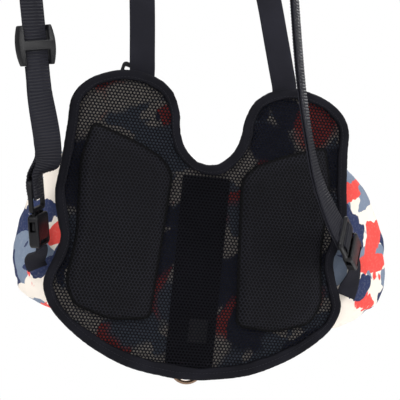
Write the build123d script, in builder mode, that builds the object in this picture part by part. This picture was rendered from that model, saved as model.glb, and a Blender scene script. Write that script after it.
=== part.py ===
from build123d import *
from math import cos, radians, sin
import os

# Safety harness vest, worn on the back: a padded panel with two shoulder loops, two zipped side
# pouches, a grab handle and a tether ring.
# Millimetres. +X is the wearer's right hand side, +Y is the outer side, +Z is up.
# The origin is the middle of the plane in which the two pads meet the wearer.

# ---- driving dimensions ----
webbing_width = 25.0
webbing_thickness = 1.6
tab_width = 20.0
running_gap = 0.3

pad_front_y = 0.0
pad_thickness = 8.0
liner_y = 8.2
liner_thickness = 2.2
label_thickness = 0.25
spine_strip_y = 10.75
spine_strip_thickness = 1.5
shell_y = 12.6
shell_thickness = 2.0
binding_width = 10.0
binding_front_y = 6.6
binding_thickness = 9.6
fold_clearance = 0.3

spine_width = 48.0
spine_webbing_width = 38.0
spine_webbing_thickness = 1.5

outline_steps = 60
panel_side = (
    (0, 70.5), (6, 71.3), (13, 74), (24, 85), (30, 100), (33, 120), (42, 139), (60, 151), (87, 155), (112, 149), (131, 137),
    (141, 120), (142.5, 95), (145, 60), (148, 28), (142.5, 0), (138.5, -15), (143, -34), (151, -57),
    (148, -74), (138, -90), (118, -108), (93, -124), (60, -138),
    (20, -145.2), (0, -146),
)
pad_outline = (
    (118, 101), (73, 86), (46, 73), (34, 58), (37, 5), (43, -88), (82, -92), (120, -80), (130, -58),
    (124, -10), (127, 62),
)
pad_corner_radius = 7.0

pouch_inner_x = 88.0
pouch_base_y = 16.6
pouch_widest_y = 48.0
pouch_cap_y = 80.0
pouch_corner_radius = 12.0
pouch_outline = {
    "left": ((88, 94), (130, 86), (163, 50), (177, 8), (182, -40), (176, -68), (150, -84), (88, -88)),
    "right": ((88, 96), (140, 94), (172, 68), (199, 18), (208, -30), (202, -52), (170, -80), (88, -88)),
}
pouch_base_reach = {"left": 0.53, "right": 0.40}
pouch_cap_scale = 0.84

zip_length = {"left": 52.0, "right": 68.0}
zip_tape_width = 24.0
zip_tape_thickness = 0.8
zip_teeth_width = 5.0
zip_teeth_height = 1.4
zip_z = 34.0
zip_middle_x = {"left": 121.5, "right": 130.0}
zip_slider_length = 9.0
zip_slider_width = 11.0
zip_slider_height = 4.2
zip_pin_radius = 1.2
zip_pull_length = 24.0

handle_half_length = 52.0
handle_foot = 12.0
handle_stand = 24.0
handle_thickness = 2.4
handle_bend_radius = 12.0
grip_half_length = 20.0
grip_wall = 2.4

ring_bar_z = -124.0
ring_bar_half = 12.0
ring_drop = 26.0
ring_wire_radius = 2.0
ring_tab_half_width = 9.0
ring_tab_top_z = -96.0

buckle_width = 34.0
female_width = 31.0
female_thickness = 10.0
cavity_width = 27.0
cavity_height = 5.6
male_thickness = 4.0
male_bottom = 5.0
male_top = 36.0
male_slot_height = 9.4
male_slot_middles = ((0, 13.8), (0, 27.2))
prong_thickness = 3.2
slot_width = 26.4
slot_height = 4.0
strap_rise = {"left": -2.9, "right": -3.1}
return_rise = {"left": 2.9, "right": -5.6}

slider_end_width = 34.0
slider_middle_width = 41.0
slider_length = 36.0
slider_window = 26.8
slider_back = 3.6
slider_front = 3.4
slider_bar_gap = 1.1
slider_end_bar = 5.0
slider_front_bar = 9.0
return_offset = 2.3

adjuster_width = 33.0
adjuster_height = 22.0
adjuster_thickness = 4.0

# Where each buckle hangs: its middle, the way down the strap, and the way across it.
buckle_place = {
    "left": ((-161.5, -10.0, 3.4), (0.163, 0.174, -0.971), (0.36, 0.93, 0.0)),
    "right": ((146.0, -14.0, 3.0), (0.48, 0.78, -0.40), (0.194, 0.345, 0.906)),
}
# Each slider sits on a straight run of its side strap, between two points of that strap.
slider_share = {"left": 0.54, "right": 0.20}

# Straps as stations: x, y, z, how far the webbing's width is turned from +X about the vertical, and
# how far that width is then tilted up, where it is.
left_arch = ((-140.5, -26.0, 262.0), 68.0, (-0.823, -0.568))
right_arch = ((36.4, -27.5, 290.0), 33.5, (0.29, -0.957))
shoulder_stations = {
    "left": [(-73, 18.5, 145, 0), (-73.6, 18.2, 158, 0), (-75, 16, 170, 0), (-78, 13.6, 200, 0),
             (-81.5, 12.8, 232, -6)],
    "right": [(73, 18.5, 145, 0), (71, 18.2, 158, 0), (67, 16, 170, 0), (57, 11, 200, 0),
              (44.5, 8, 240, 2)],
}
side_stations = {
    "left": [(-193, -61.5, 240, -128), (-188, -57.5, 212, -144), (-168.5, -42, 112, -144),
             (-158.5, -33, 74, -146), (-157, -25, 54, -136)],
    "right": [(48, -60, 275, 62), (71, -55, 155, 62), (86.5, -53, 95, 62), (98, -52, 62, 60, 20),
              (111, -49.5, 38, 60, 42)],
}
arch_turns = {
    "left": {180: -20, 150: -38, 120: -50, 90: -55, 60: -62, 30: -80, 0: -104},
    "right": {180: 4, 150: 8, 120: 12, 90: 15, 60: 24, 30: 36, 0: 48},
}
# The straight run of each side strap that carries the slider, as station numbers.
straight_run = {"left": (1, 2), "right": (0, 1)}
# The return layer lies on the side of the strap away from the wearer.
return_side = {"left": 1, "right": -1}
# How far up the buckle each layer is led onto its frame.
strap_entry = {"left": (38.0, 17.0), "right": (38.0, 17.0)}
return_entry = {"left": (38.0, 17.0), "right": (38.0, 17.0)}

adjuster_x = {"left": 79.0, "right": 80.0}
adjuster_z = {"left": 150.0, "right": 147.0}
adjuster_y = 21.8
adjuster_tilt = {"left": -13.0, "right": -20.0}
tail_stations = ((72, 25.2, 150, 0), (71, 25.2, 134, 0), (68, 21.6, 92, 0), (67, 23, 62, 0))
lobe_loop_stations = ((73, 15.7, 98, 0), (73, 15.7, 120, 0), (73, 18.2, 128, 0), (73, 20.4, 133.5, 0))
tab_anchor = {
    "left": [(-158.5, 3, -33, 30), (-160.5, 14, -41, 8), (-157, 17.7, -48, 0)],
    "right": [(161.5, 12.5, -24, 30, 20), (159, 17.5, -40, 0), (156.5, 17.5, -49, 0)],
}
side_sign = {"left": -1, "right": 1}
sides = ("left", "right")

os.makedirs("parts", exist_ok=True)


def save(piece, node):
    """Label a finished piece and write it as its own STEP file."""
    piece.part.label = node
    export_step(piece.part, f"parts/{node}.step")


def upright(y):
    """An upright plane facing the wearer: sketch x is +X, sketch y is +Z, and -amount goes to +Y."""
    return Plane((0, y, 0), x_dir=(1, 0, 0), z_dir=(0, -1, 0))


# ---- panel ----
def panel_face(inset=0.0):
    """Flat outline of the whole panel, drawn in from its edge by inset."""
    side = Spline(*panel_side)
    points = []
    for step in range(outline_steps + 1):
        place = side @ (step / outline_steps)
        run = side % (step / outline_steps)
        on_middle = step in (0, outline_steps)
        points.append((0 if on_middle else place.X + run.Y * inset, place.Y - run.X * inset))
    with BuildSketch() as outline:
        with BuildLine():
            Spline(*points)
            mirror(about=Plane.YZ)
        make_face()
    return outline.sketch


def make_panel_layer(node, y, thickness):
    """A sheet of the panel that ends inside the edge binding."""
    outline = panel_face(binding_width + fold_clearance)
    with BuildPart() as layer:
        with BuildSketch(upright(y)):
            add(outline)
        extrude(amount=-thickness)
    save(layer, node)


def make_edge_binding():
    """The tape that is folded round the whole edge of the panel."""
    outline = panel_face()
    opening = panel_face(binding_width)
    with BuildPart() as binding:
        with BuildSketch(upright(binding_front_y)):
            add(outline)
            add(opening, mode=Mode.SUBTRACT)
        extrude(amount=-binding_thickness)
    save(binding, "edge_binding")


def make_spine_strip():
    """Black strip between the mesh and the shell, and the blank label sewn on it."""
    top_z = 58.0
    bottom_z = -133.0
    with BuildPart() as strip:
        with BuildSketch(upright(spine_strip_y)):
            with Locations((0, (top_z + bottom_z) / 2)):
                RectangleRounded(spine_width, top_z - bottom_z, 4)
        extrude(amount=-spine_strip_thickness)
    save(strip, "spine_strip")
    with BuildPart() as label:
        with BuildSketch(upright(spine_strip_y - label_thickness - 0.03)):
            with Locations((6, -96)):
                Rectangle(19, 25)
        extrude(amount=-label_thickness)
    save(label, "blank_label")


def make_pads(side):
    """A foam pad that lies against the wearer's back."""
    mirrored = [(side_sign[side] * x, z) for x, z in pad_outline]
    with BuildPart() as pad:
        with BuildSketch(upright(pad_front_y)) as outline:
            with BuildLine():
                Polyline(*mirrored, close=True)
            make_face()
            fillet(outline.vertices(), pad_corner_radius)
        extrude(amount=-pad_thickness)
    save(pad, f"{side}_pad")


# ---- outer side ----
outer_face_y = shell_y + shell_thickness + 0.2


def make_spine_webbing():
    """Webbing sewn down the middle of the outer side; the handle and the ring tab stand on it."""
    top_z = 54.0
    bottom_z = -130.0
    with BuildPart() as webbing:
        with BuildSketch(upright(outer_face_y)):
            with Locations((0, (top_z + bottom_z) / 2)):
                Rectangle(spine_webbing_width, top_z - bottom_z)
        extrude(amount=-spine_webbing_thickness)
    save(webbing, "spine_webbing")


handle_base_y = outer_face_y + spine_webbing_thickness + 0.1


def handle_path(rise):
    """One long edge of the handle's band, from foot to foot, rise above its inner face."""
    low = handle_base_y + rise
    high = handle_base_y + handle_stand + rise
    end = handle_half_length
    inner = end - handle_foot
    knee = inner - handle_stand * 0.6
    points = ((low, -end), (low, -inner - rise / 2), (high, -knee - rise / 2))
    points += ((high, knee + rise / 2), (low, inner + rise / 2), (low, end))
    return points


def make_grab_handle():
    """Band handle with two sewn feet, and the padded sleeve round its middle."""
    with BuildPart() as handle:
        with BuildSketch(Plane.YZ):
            with BuildLine():
                outer = FilletPolyline(*handle_path(handle_thickness), radius=handle_bend_radius)
                inner = FilletPolyline(*handle_path(0), radius=handle_bend_radius)
                Line(outer @ 0, inner @ 0)
                Line(outer @ 1, inner @ 1)
            make_face()
        extrude(amount=webbing_width / 2, both=True)
    save(handle, "grab_handle")
    middle_y = handle_base_y + handle_stand + handle_thickness / 2
    sleeve_width = webbing_width + 2 * grip_wall
    sleeve_height = handle_thickness + 2 * grip_wall + 2 * fold_clearance
    with BuildPart() as grip:
        with BuildSketch(Plane.XY):
            with Locations((0, middle_y)):
                RectangleRounded(sleeve_width + 2 * fold_clearance, sleeve_height, 3.2)
                hole_height = handle_thickness + 2 * fold_clearance
                Rectangle(webbing_width + 2 * fold_clearance, hole_height, mode=Mode.SUBTRACT)
        extrude(amount=grip_half_length, both=True)
    save(grip, "handle_grip")


ring_bar_y = handle_base_y + 5.0


def make_ring_tab():
    """Folded webbing tab that holds the bar of the tether ring."""
    eye = ring_wire_radius + running_gap
    wrap = eye + webbing_thickness
    with BuildPart() as tab:
        with BuildSketch(Plane.YZ):
            with Locations((ring_bar_y, ring_bar_z)):
                Circle(wrap)
            middle_z = (ring_bar_z + ring_tab_top_z) / 2
            with Locations((handle_base_y + 0.1 + webbing_thickness, middle_z)):
                Rectangle(2 * webbing_thickness, ring_tab_top_z - ring_bar_z)
            with Locations((ring_bar_y, ring_bar_z)):
                Circle(eye, mode=Mode.SUBTRACT)
        extrude(amount=ring_tab_half_width, both=True)
    save(tab, "ring_tab")


def make_tether_ring():
    """D ring of round wire: a straight bar in the tab, and a bow below it."""
    bar_end = Vector(ring_bar_half, ring_bar_y, ring_bar_z)
    other_end = Vector(-ring_bar_half, ring_bar_y, ring_bar_z)
    with BuildPart() as ring:
        with BuildLine() as bow:
            ThreePointArc(bar_end, (0, ring_bar_y, ring_bar_z - ring_drop), other_end)
        with BuildSketch(Plane(bar_end, z_dir=bow.line % 0)):
            Circle(ring_wire_radius)
        sweep(path=bow.line)
        with BuildSketch(Plane(other_end, x_dir=(0, 1, 0), z_dir=(1, 0, 0))):
            Circle(ring_wire_radius)
        extrude(amount=2 * ring_bar_half)
        with Locations(bar_end, other_end):
            Sphere(ring_wire_radius)
    save(ring, "tether_ring")


# ---- pouches and zips ----
def pouch_section(side, reach, height):
    """The pouch's outline, drawn in towards its inner edge by reach and squeezed by height."""
    points = []
    for x, z in pouch_outline[side]:
        points.append((side_sign[side] * (pouch_inner_x + (x - pouch_inner_x) * reach), z * height))
    return points


def make_pouch(side):
    """Stuffed side pouch: narrow where it is sewn to the panel, widest at mid depth."""
    with BuildPart() as pouch:
        sections = (
            (pouch_base_y, pouch_base_reach[side], 0.94),
            (pouch_widest_y, 1.0, 1.0),
            (pouch_cap_y, pouch_cap_scale, pouch_cap_scale),
        )
        for y, reach, height in sections:
            with BuildSketch(upright(y)) as outline:
                with BuildLine():
                    Polyline(*pouch_section(side, reach, height), close=True)
                make_face()
                fillet(outline.vertices(), pouch_corner_radius * reach)
        loft()
    save(pouch, f"{side}_pouch")


tape_y = pouch_cap_y + 0.1
teeth_y = tape_y + zip_tape_thickness + 0.05
slider_y = tape_y + zip_tape_thickness + running_gap
slider_top_y = slider_y + zip_slider_height
crown_y = slider_top_y + 1.9


def zip_end_x(side):
    """Where the zip slider stands when the zip is closed."""
    return zip_middle_x[side] + zip_length[side] / 2 - zip_slider_length


def make_zip(side):
    """Tape and teeth of a straight zip across the outer face of the pouch."""
    middle_x = side_sign[side] * zip_middle_x[side]
    with BuildPart() as tape:
        with BuildSketch(upright(tape_y)):
            with Locations((middle_x, zip_z)):
                Rectangle(zip_length[side] + 6, zip_tape_width)
        extrude(amount=-zip_tape_thickness)
    save(tape, f"{side}_zip_tape")
    with BuildPart() as teeth:
        with BuildSketch(upright(teeth_y)):
            with Locations((middle_x, zip_z)):
                Rectangle(zip_length[side], zip_teeth_width)
        extrude(amount=-zip_teeth_height)
    save(teeth, f"{side}_zip_teeth")


def make_zip_slider(side):
    """Slider that straddles the teeth, with a crown loop for its pull."""
    x = side_sign[side] * zip_end_x(side)
    channel_width = zip_teeth_width + 2 * running_gap
    channel_height = teeth_y + zip_teeth_height + running_gap - slider_y
    with BuildPart() as slider:
        with BuildSketch(upright(slider_y)):
            with Locations((x, zip_z)):
                RectangleRounded(zip_slider_length, zip_slider_width, 2)
        extrude(amount=-zip_slider_height)
        with BuildSketch(upright(slider_y)):
            with Locations((x, zip_z)):
                Rectangle(2 * zip_slider_length, channel_width)
        extrude(amount=-channel_height, mode=Mode.SUBTRACT)
        with BuildSketch(Plane.XY.offset(zip_z)):
            with Locations((x, slider_top_y + 0.6)):
                Rectangle(6.4, 1.4)
            with Locations((x, crown_y)):
                Circle(zip_pin_radius + running_gap + 1.4)
                Circle(zip_pin_radius + running_gap, mode=Mode.SUBTRACT)
            with Locations((x, slider_y)):
                Rectangle(10, 2 * zip_slider_height - 0.4, mode=Mode.SUBTRACT)
        extrude(amount=1.4, both=True)
    save(slider, f"{side}_zip_slider")


def make_zip_pull(side):
    """Flat pull that lies along the zip, pinned in the slider's crown."""
    sign = side_sign[side]
    x = sign * zip_end_x(side)
    arm_inner = 1.4 + running_gap
    arm_outer = arm_inner + 1.5
    arm_length = 7.5
    with BuildPart() as pull:
        with BuildSketch(Plane.XY.offset(zip_z)):
            with Locations((x, crown_y)):
                Circle(zip_pin_radius)
        extrude(amount=arm_outer, both=True)
        with BuildSketch(upright(crown_y + zip_pin_radius)):
            for edge in (-1, 1):
                with Locations((x - sign * arm_length / 2, zip_z + edge * (arm_inner + arm_outer) / 2)):
                    Rectangle(arm_length + 2 * zip_pin_radius, arm_outer - arm_inner)
            with Locations((x - sign * (arm_length + zip_pull_length) / 2, zip_z)):
                RectangleRounded(zip_pull_length - arm_length, 2 * arm_outer, 1.5)
            with Locations((x - sign * (zip_pull_length - 4), zip_z)):
                Circle(1.6, mode=Mode.SUBTRACT)
        extrude(amount=2 * zip_pin_radius)
    save(pull, f"{side}_zip_pull")


# ---- straps ----
def ribbon_planes(stations):
    """Planes square to a strap's run, each turned to face its own way."""
    points = [Vector(*station[:3]) for station in stations]
    planes = []
    for number, station in enumerate(stations):
        ahead = points[min(number + 1, len(points) - 1)]
        behind = points[max(number - 1, 0)]
        run = (ahead - behind).normalized()
        turn = radians(station[3])
        tilt = radians(station[4]) if len(station) > 4 else 0.0
        across = Vector(cos(turn) * cos(tilt), sin(turn) * cos(tilt), sin(tilt))
        across = (across - run * across.dot(run)).normalized()
        planes.append(Plane(points[number], x_dir=across, z_dir=run))
    return planes


def make_ribbon(node, planes, rises=None, width=webbing_width):
    """A flat strap through a row of planes, lifted off each of them by its rise."""
    with BuildPart() as ribbon:
        for number, plane in enumerate(planes):
            with BuildSketch(plane):
                with Locations((0, rises[number] if rises else 0)):
                    Rectangle(width, webbing_thickness)
        loft(ruled=True)
    save(ribbon, node)


def arch_stations(side, first, last):
    """The round top of a shoulder loop, from one angle of its half circle to another."""
    centre, radius, heading = left_arch if side == "left" else right_arch
    stations = []
    for angle in range(first, last - 1, -30):
        out = radius * cos(radians(angle))
        up = radius * sin(radians(angle))
        x = centre[0] + out * heading[0]
        y = centre[1] + out * heading[1]
        stations.append((x, y, centre[2] + up, arch_turns[side][angle]))
    return stations


def loop_planes(side):
    """Planes of one whole loop of webbing, from the lobe over the top and down the side."""
    stations = shoulder_stations[side] + arch_stations(side, 180, 0) + side_stations[side]
    return ribbon_planes(stations)


def loop_top(side):
    """Number of the plane at the very top of a loop, where the two straps are sewn together."""
    return len(shoulder_stations[side]) + len(arch_stations(side, 180, 90)) - 1


def make_shoulder_strap(side):
    """Smooth webbing from the lobe's adjuster up to the top of the loop."""
    make_ribbon(f"{side}_shoulder_strap", loop_planes(side)[:loop_top(side) + 1])


def buckle_face(side):
    """Plane of a buckle: x across the strap, y up the strap, z towards the wearer."""
    middle, down, across = buckle_place[side]
    up = -Vector(*down).normalized()
    wide = Vector(*across)
    wide = (wide - up * wide.dot(up)).normalized()
    return Plane(middle, x_dir=wide, z_dir=wide.cross(up))


def buckle_planes(side, entries):
    """Planes square to the buckle, which lead a strap layer onto its centre bar."""
    face = buckle_face(side)
    planes = []
    for up in entries:
        start = face.from_local_coords((0, up, 0))
        planes.append(Plane(start, x_dir=face.x_dir * side_sign[side], z_dir=-face.y_dir))
    return planes


def make_side_strap(side):
    """Ribbed webbing from the top of the loop past its slider, and the end that flexes to the buckle."""
    planes = loop_planes(side)
    split = len(planes) - len(side_stations[side]) + straight_run[side][1]
    make_ribbon(f"{side}_side_strap", planes[loop_top(side):split + 1])
    ends = buckle_planes(side, strap_entry[side])
    rises = [0] * (len(planes) - split) + [strap_rise[side]] * len(ends)
    make_ribbon(f"{side}_strap_end", planes[split:] + ends, rises)


def make_return_layer(side):
    """Second layer of the ribbed webbing, from the slider's lower bar back to the buckle."""
    face = slider_face(side)
    start = face.from_local_coords((0, -slider_length / 2 - fold_clearance, 0))
    run = [Plane(start, x_dir=face.x_dir * side_sign[side], z_dir=-face.y_dir)]
    run += ribbon_planes(side_stations[side])[straight_run[side][1]:]
    ends = buckle_planes(side, return_entry[side])
    rises = [return_side[side] * return_offset] * len(run) + [return_rise[side]] * len(ends)
    make_ribbon(f"{side}_strap_return", run + ends, rises)


def slider_face(side):
    """Plane of a strap slider: x across the strap, y up the strap, z towards the wearer."""
    first, last = straight_run[side]
    upper = Vector(*side_stations[side][first][:3])
    lower = Vector(*side_stations[side][last][:3])
    up = (upper - lower).normalized()
    turn = radians(side_stations[side][last][3])
    wide = Vector(cos(turn), sin(turn), 0) * side_sign[side]
    wide = (wide - up * wide.dot(up)).normalized()
    middle = upper + (lower - upper) * slider_share[side]
    return Plane(middle, x_dir=wide, z_dir=wide.cross(up))


def make_strap_slider(side):
    """Three-bar slider: bowed side rails, two bars behind the strap and one in front of it."""
    face = slider_face(side)
    half_end = slider_end_width / 2
    half_middle = slider_middle_width / 2
    half_length = slider_length / 2
    with BuildPart() as slider:
        with BuildSketch(face.offset(-slider_back)):
            with BuildLine():
                ThreePointArc((half_end, -half_length), (half_middle, 0), (half_end, half_length))
                Line((half_end, half_length), (-half_end, half_length))
                ThreePointArc((-half_end, half_length), (-half_middle, 0), (-half_end, -half_length))
                Line((-half_end, -half_length), (half_end, -half_length))
            make_face()
            Rectangle(slider_window, 2 * slider_length, mode=Mode.SUBTRACT)
        extrude(amount=slider_back + slider_front)
        with BuildSketch(face.offset(-slider_back)):
            with Locations((0, half_length - slider_end_bar / 2), (0, slider_end_bar / 2 - half_length)):
                Rectangle(slider_window + 2, slider_end_bar)
        extrude(amount=slider_back - slider_bar_gap)
        with BuildSketch(face.offset(slider_bar_gap)):
            Rectangle(slider_window + 2, slider_front_bar)
        extrude(amount=slider_front - slider_bar_gap)
    save(slider, f"{side}_strap_slider")


# ---- side buckles ----
def make_buckle_male(side):
    """Male half: a frame with two webbing slots, and a guide tongue that runs into the female half."""
    face = buckle_face(side)
    with BuildPart() as male:
        with BuildSketch(face):
            with Locations((0, (male_top + male_bottom) / 2)):
                RectangleRounded(buckle_width, male_top - male_bottom, 4)
        extrude(amount=male_thickness / 2, both=True)
        flat = male.faces().filter_by(Axis(face.origin, face.z_dir))
        fillet(flat.edges(), 1.2)
        with BuildSketch(face):
            with Locations(*male_slot_middles):
                RectangleRounded(slot_width, male_slot_height, 1)
        extrude(amount=male_thickness, both=True, mode=Mode.SUBTRACT)
        with BuildSketch(face):
            with Locations((0, -3.5)):
                Rectangle(5, 19)
        extrude(amount=1.5, both=True)
    save(male, f"{side}_buckle_male")


def make_prong(side, hand):
    """Springy arm of the male half, with a press pad that shows in the female half's window."""
    arm = ((6.4, 4.5), (11.4, 4.5), (12.0, -2.0), (13.2, -4.6), (13.2, -12.0), (10.6, -16.0),
           (8.6, -15.0), (8.6, -4.0))
    with BuildPart() as prong:
        with BuildSketch(buckle_face(side)):
            with BuildLine():
                Polyline(*[(hand * x, y) for x, y in arm], close=True)
            make_face()
        extrude(amount=prong_thickness / 2, both=True)
    name = "inner" if hand == side_sign[side] * -1 else "outer"
    save(prong, f"{side}_{name}_prong")


def make_buckle_female(side):
    """Female half: a hollow shell with a mouth, two side windows and a bar for the tab."""
    face = buckle_face(side)
    with BuildPart() as female:
        with BuildSketch(face):
            with Locations((0, -13)):
                RectangleRounded(female_width, 32, 5)
        extrude(amount=female_thickness / 2, both=True)
        flat = female.faces().filter_by(Axis(face.origin, face.z_dir))
        fillet(flat.edges(), 2.0)
        with BuildSketch(face):
            with Locations((0, -8)):
                Rectangle(cavity_width, 22.2)
        extrude(amount=cavity_height / 2, both=True, mode=Mode.SUBTRACT)
        with BuildSketch(face):
            with Locations((0, -8)):
                Rectangle(2 * female_width, 10)
        extrude(amount=cavity_height / 2, both=True, mode=Mode.SUBTRACT)
        with BuildSketch(face):
            with Locations((0, -24)):
                RectangleRounded(tab_width + 1.4, slot_height, 1)
        extrude(amount=female_thickness, both=True, mode=Mode.SUBTRACT)
    save(female, f"{side}_buckle_female")


def make_buckle_tab(side):
    """Short webbing tab from the female half's bar to the side edge of the panel."""
    face = buckle_face(side)
    flow = -face.y_dir
    start = Plane(face.from_local_coords((0, -29.4, 0)), x_dir=face.x_dir, z_dir=flow)
    planes = [start] + ribbon_planes(tab_anchor[side])
    make_ribbon(f"{side}_buckle_tab", planes, width=tab_width)


# ---- lobes: where the shoulder straps meet the panel ----
def make_adjuster(side):
    """Ladder adjuster behind the top of the lobe."""
    sign = side_sign[side]
    with BuildPart() as adjuster:
        with BuildSketch(upright(adjuster_y)):
            with Locations(Location((sign * adjuster_x[side], adjuster_z[side]), adjuster_tilt[side])):
                RectangleRounded(adjuster_width, adjuster_height, 4)
                with Locations((0, 4.6), (0, -4.6)):
                    RectangleRounded(slot_width, slot_height, 1, mode=Mode.SUBTRACT)
        extrude(amount=adjuster_thickness / 2, both=True)
    save(adjuster, f"{side}_lobe_adjuster")


def make_lobe_webbing(side):
    """The sewn loop that holds the adjuster, and the loose tail of the shoulder strap."""
    sign = side_sign[side]
    loop = [(sign * x, y, z, turn) for x, y, z, turn in lobe_loop_stations]
    make_ribbon(f"{side}_lobe_loop", ribbon_planes(loop))
    tail = [(sign * x, y, z, turn) for x, y, z, turn in tail_stations]
    make_ribbon(f"{side}_strap_tail", ribbon_planes(tail))


make_panel_layer("mesh_liner", liner_y, liner_thickness)
make_panel_layer("outer_shell", shell_y, shell_thickness)
make_edge_binding()
make_spine_strip()
make_spine_webbing()
make_grab_handle()
make_ring_tab()
make_tether_ring()
for wearer_side in sides:
    make_pads(wearer_side)
    make_pouch(wearer_side)
    make_zip(wearer_side)
    make_zip_slider(wearer_side)
    make_zip_pull(wearer_side)
    make_shoulder_strap(wearer_side)
    make_side_strap(wearer_side)
    make_return_layer(wearer_side)
    make_strap_slider(wearer_side)
    make_buckle_male(wearer_side)
    for prong_hand in (-1, 1):
        make_prong(wearer_side, prong_hand)
    make_buckle_female(wearer_side)
    make_buckle_tab(wearer_side)
    make_adjuster(wearer_side)
    make_lobe_webbing(wearer_side)
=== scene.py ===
from math import ceil, cos, pi, radians, sin, sqrt

import bmesh
import bpy
import numpy as np
from bpy.props import FloatProperty, FloatVectorProperty, IntProperty, PointerProperty
from mathutils import Matrix, Vector, noise
from mathutils.geometry import delaunay_2d_cdt


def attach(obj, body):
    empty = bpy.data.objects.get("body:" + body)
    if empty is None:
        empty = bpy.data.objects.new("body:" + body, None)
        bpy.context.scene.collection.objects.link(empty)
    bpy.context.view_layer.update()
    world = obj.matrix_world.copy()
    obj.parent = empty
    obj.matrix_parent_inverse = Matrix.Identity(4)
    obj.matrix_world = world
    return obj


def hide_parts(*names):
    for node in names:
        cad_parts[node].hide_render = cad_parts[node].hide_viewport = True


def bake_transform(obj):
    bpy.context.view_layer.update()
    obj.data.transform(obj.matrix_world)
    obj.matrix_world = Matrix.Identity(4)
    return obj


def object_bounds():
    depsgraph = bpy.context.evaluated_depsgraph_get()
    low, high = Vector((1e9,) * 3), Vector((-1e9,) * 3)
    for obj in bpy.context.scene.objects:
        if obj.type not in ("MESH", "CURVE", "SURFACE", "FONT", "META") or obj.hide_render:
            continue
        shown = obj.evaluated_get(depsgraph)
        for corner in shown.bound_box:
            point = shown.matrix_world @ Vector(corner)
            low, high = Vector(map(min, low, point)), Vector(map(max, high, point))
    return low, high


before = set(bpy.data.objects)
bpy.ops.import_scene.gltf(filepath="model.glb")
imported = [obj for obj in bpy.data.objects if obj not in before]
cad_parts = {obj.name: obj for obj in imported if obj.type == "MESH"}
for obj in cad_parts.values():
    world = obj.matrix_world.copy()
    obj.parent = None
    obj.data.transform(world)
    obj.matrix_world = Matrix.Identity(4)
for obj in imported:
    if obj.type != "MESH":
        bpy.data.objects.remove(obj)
cad_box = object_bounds()

bl_info = {
    "name": "Safety harness vest",
    "version": (1, 0, 0),
    "blender": (4, 5, 0),
    "location": "View3D > Sidebar > Vest",
    "description": "Builds a padded safety harness vest with straps, buckles, pouches and a tether ring",
    "category": "Object",
}

MM = 0.001
SIDES = ("left", "right")
SIGN = {"left": -1, "right": 1}
ROOT = "vest"

# Half of the panel's outline, from the middle of the neck notch to the middle of the bottom, x and z.
PANEL_SIDE = (
    (0, 70.5), (6, 71.3), (13, 74), (24, 85), (30, 100), (33, 120), (42, 139), (60, 151), (87, 155),
    (112, 149), (131, 137), (141, 120), (142.5, 95), (145, 60), (148, 28), (142.5, 0), (138.5, -15),
    (143, -34), (151, -57), (148, -74), (138, -90), (118, -108), (93, -124), (60, -138), (20, -145.2),
    (0, -146),
)
PAD_OUTLINE = (
    (118, 101), (73, 86), (46, 73), (34, 58), (37, 5), (43, -88), (82, -92), (120, -80), (130, -58),
    (124, -10), (127, 62),
)
POUCH_INNER = 88
POUCH_OUTLINE = {
    "left": ((88, 94), (130, 86), (163, 50), (177, 8), (182, -40), (176, -68), (150, -84), (88, -88)),
    "right": ((88, 96), (140, 94), (172, 68), (199, 18), (208, -30), (202, -52), (170, -80), (88, -88)),
}
POUCH_BASE = {"left": 0.53, "right": 0.40}
POUCH_Y = (16.6, 48.0, 80.0)
CAP_SCALE = 0.84

# Webbing as stations: x, y, z, how far its width is turned from +X about the vertical, and how far
# that width is then tilted up, where it is.
ARCH = {
    "left": ((-140.5, -26, 262), 68, (-0.823, -0.568)),
    "right": ((36.4, -27.5, 290), 33.5, (0.29, -0.957)),
}
ARCH_TURN = {
    "left": ((180, -20), (150, -38), (120, -50), (90, -55), (60, -62), (30, -80), (0, -104)),
    "right": ((180, 4), (150, 8), (120, 12), (90, 15), (60, 24), (30, 36), (0, 48)),
}
SHOULDER = {
    "left": ((-73, 18.5, 145, 0), (-73.6, 18.2, 158, 0), (-75, 16, 170, 0), (-78, 13.6, 200, 0),
             (-81.5, 12.8, 232, -6)),
    "right": ((73, 18.5, 145, 0), (71, 18.2, 158, 0), (67, 16, 170, 0), (57, 11, 200, 0),
              (44.5, 8, 240, 2)),
}
SIDE_RUN = {
    "left": ((-193, -61.5, 240, -128), (-188, -57.5, 212, -144), (-172, -44.8, 130, -144),
             (-168.5, -42, 112, -150), (-159.5, -34, 76, -172), (-157, -25.5, 54, -160)),
    "right": ((48, -60, 275, 62), (71, -55, 155, 62), (86.5, -53, 95, 62), (98, -52, 62, 60, 20),
              (111, -49.5, 38, 60, 42)),
}
BUCKLE = {
    "left": ((-161.5, -10.0, 3.4), (0.163, 0.174, -0.971), (0.36, 0.93, 0.0)),
    "right": ((146.0, -14.0, 3.0), (0.48, 0.78, -0.40), (0.194, 0.345, 0.906)),
}
STRAP_RISE = {"left": -2.9, "right": -3.1}
RETURN_RISE = {"left": 2.9, "right": -5.6}
RETURN_SIDE = {"left": 1, "right": -1}
ENTRY = (38.0, 17.0)
TAB_ANCHOR = {
    "left": ((-158.5, 3, -33, 30), (-160.5, 14, -41, 8), (-157, 17.7, -48, 0)),
    "right": ((161.5, 12.5, -24, 30, 20), (159, 17.5, -40, 0), (156.5, 17.5, -49, 0)),
}
LOBE_LOOP = ((73, 15.7, 98, 0), (73, 15.7, 120, 0), (73, 18.2, 128, 0), (73, 20.4, 133.5, 0))
STRAP_TAIL = ((72, 25.2, 150, 0), (71, 25.2, 134, 0), (68, 21.6, 92, 0), (67, 23, 62, 0))
ZIP_MIDDLE = {"left": 121.5, "right": 130.0}
ZIP_LENGTH = {"left": 52.0, "right": 68.0}
ZIP_Z = 34.0


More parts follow.
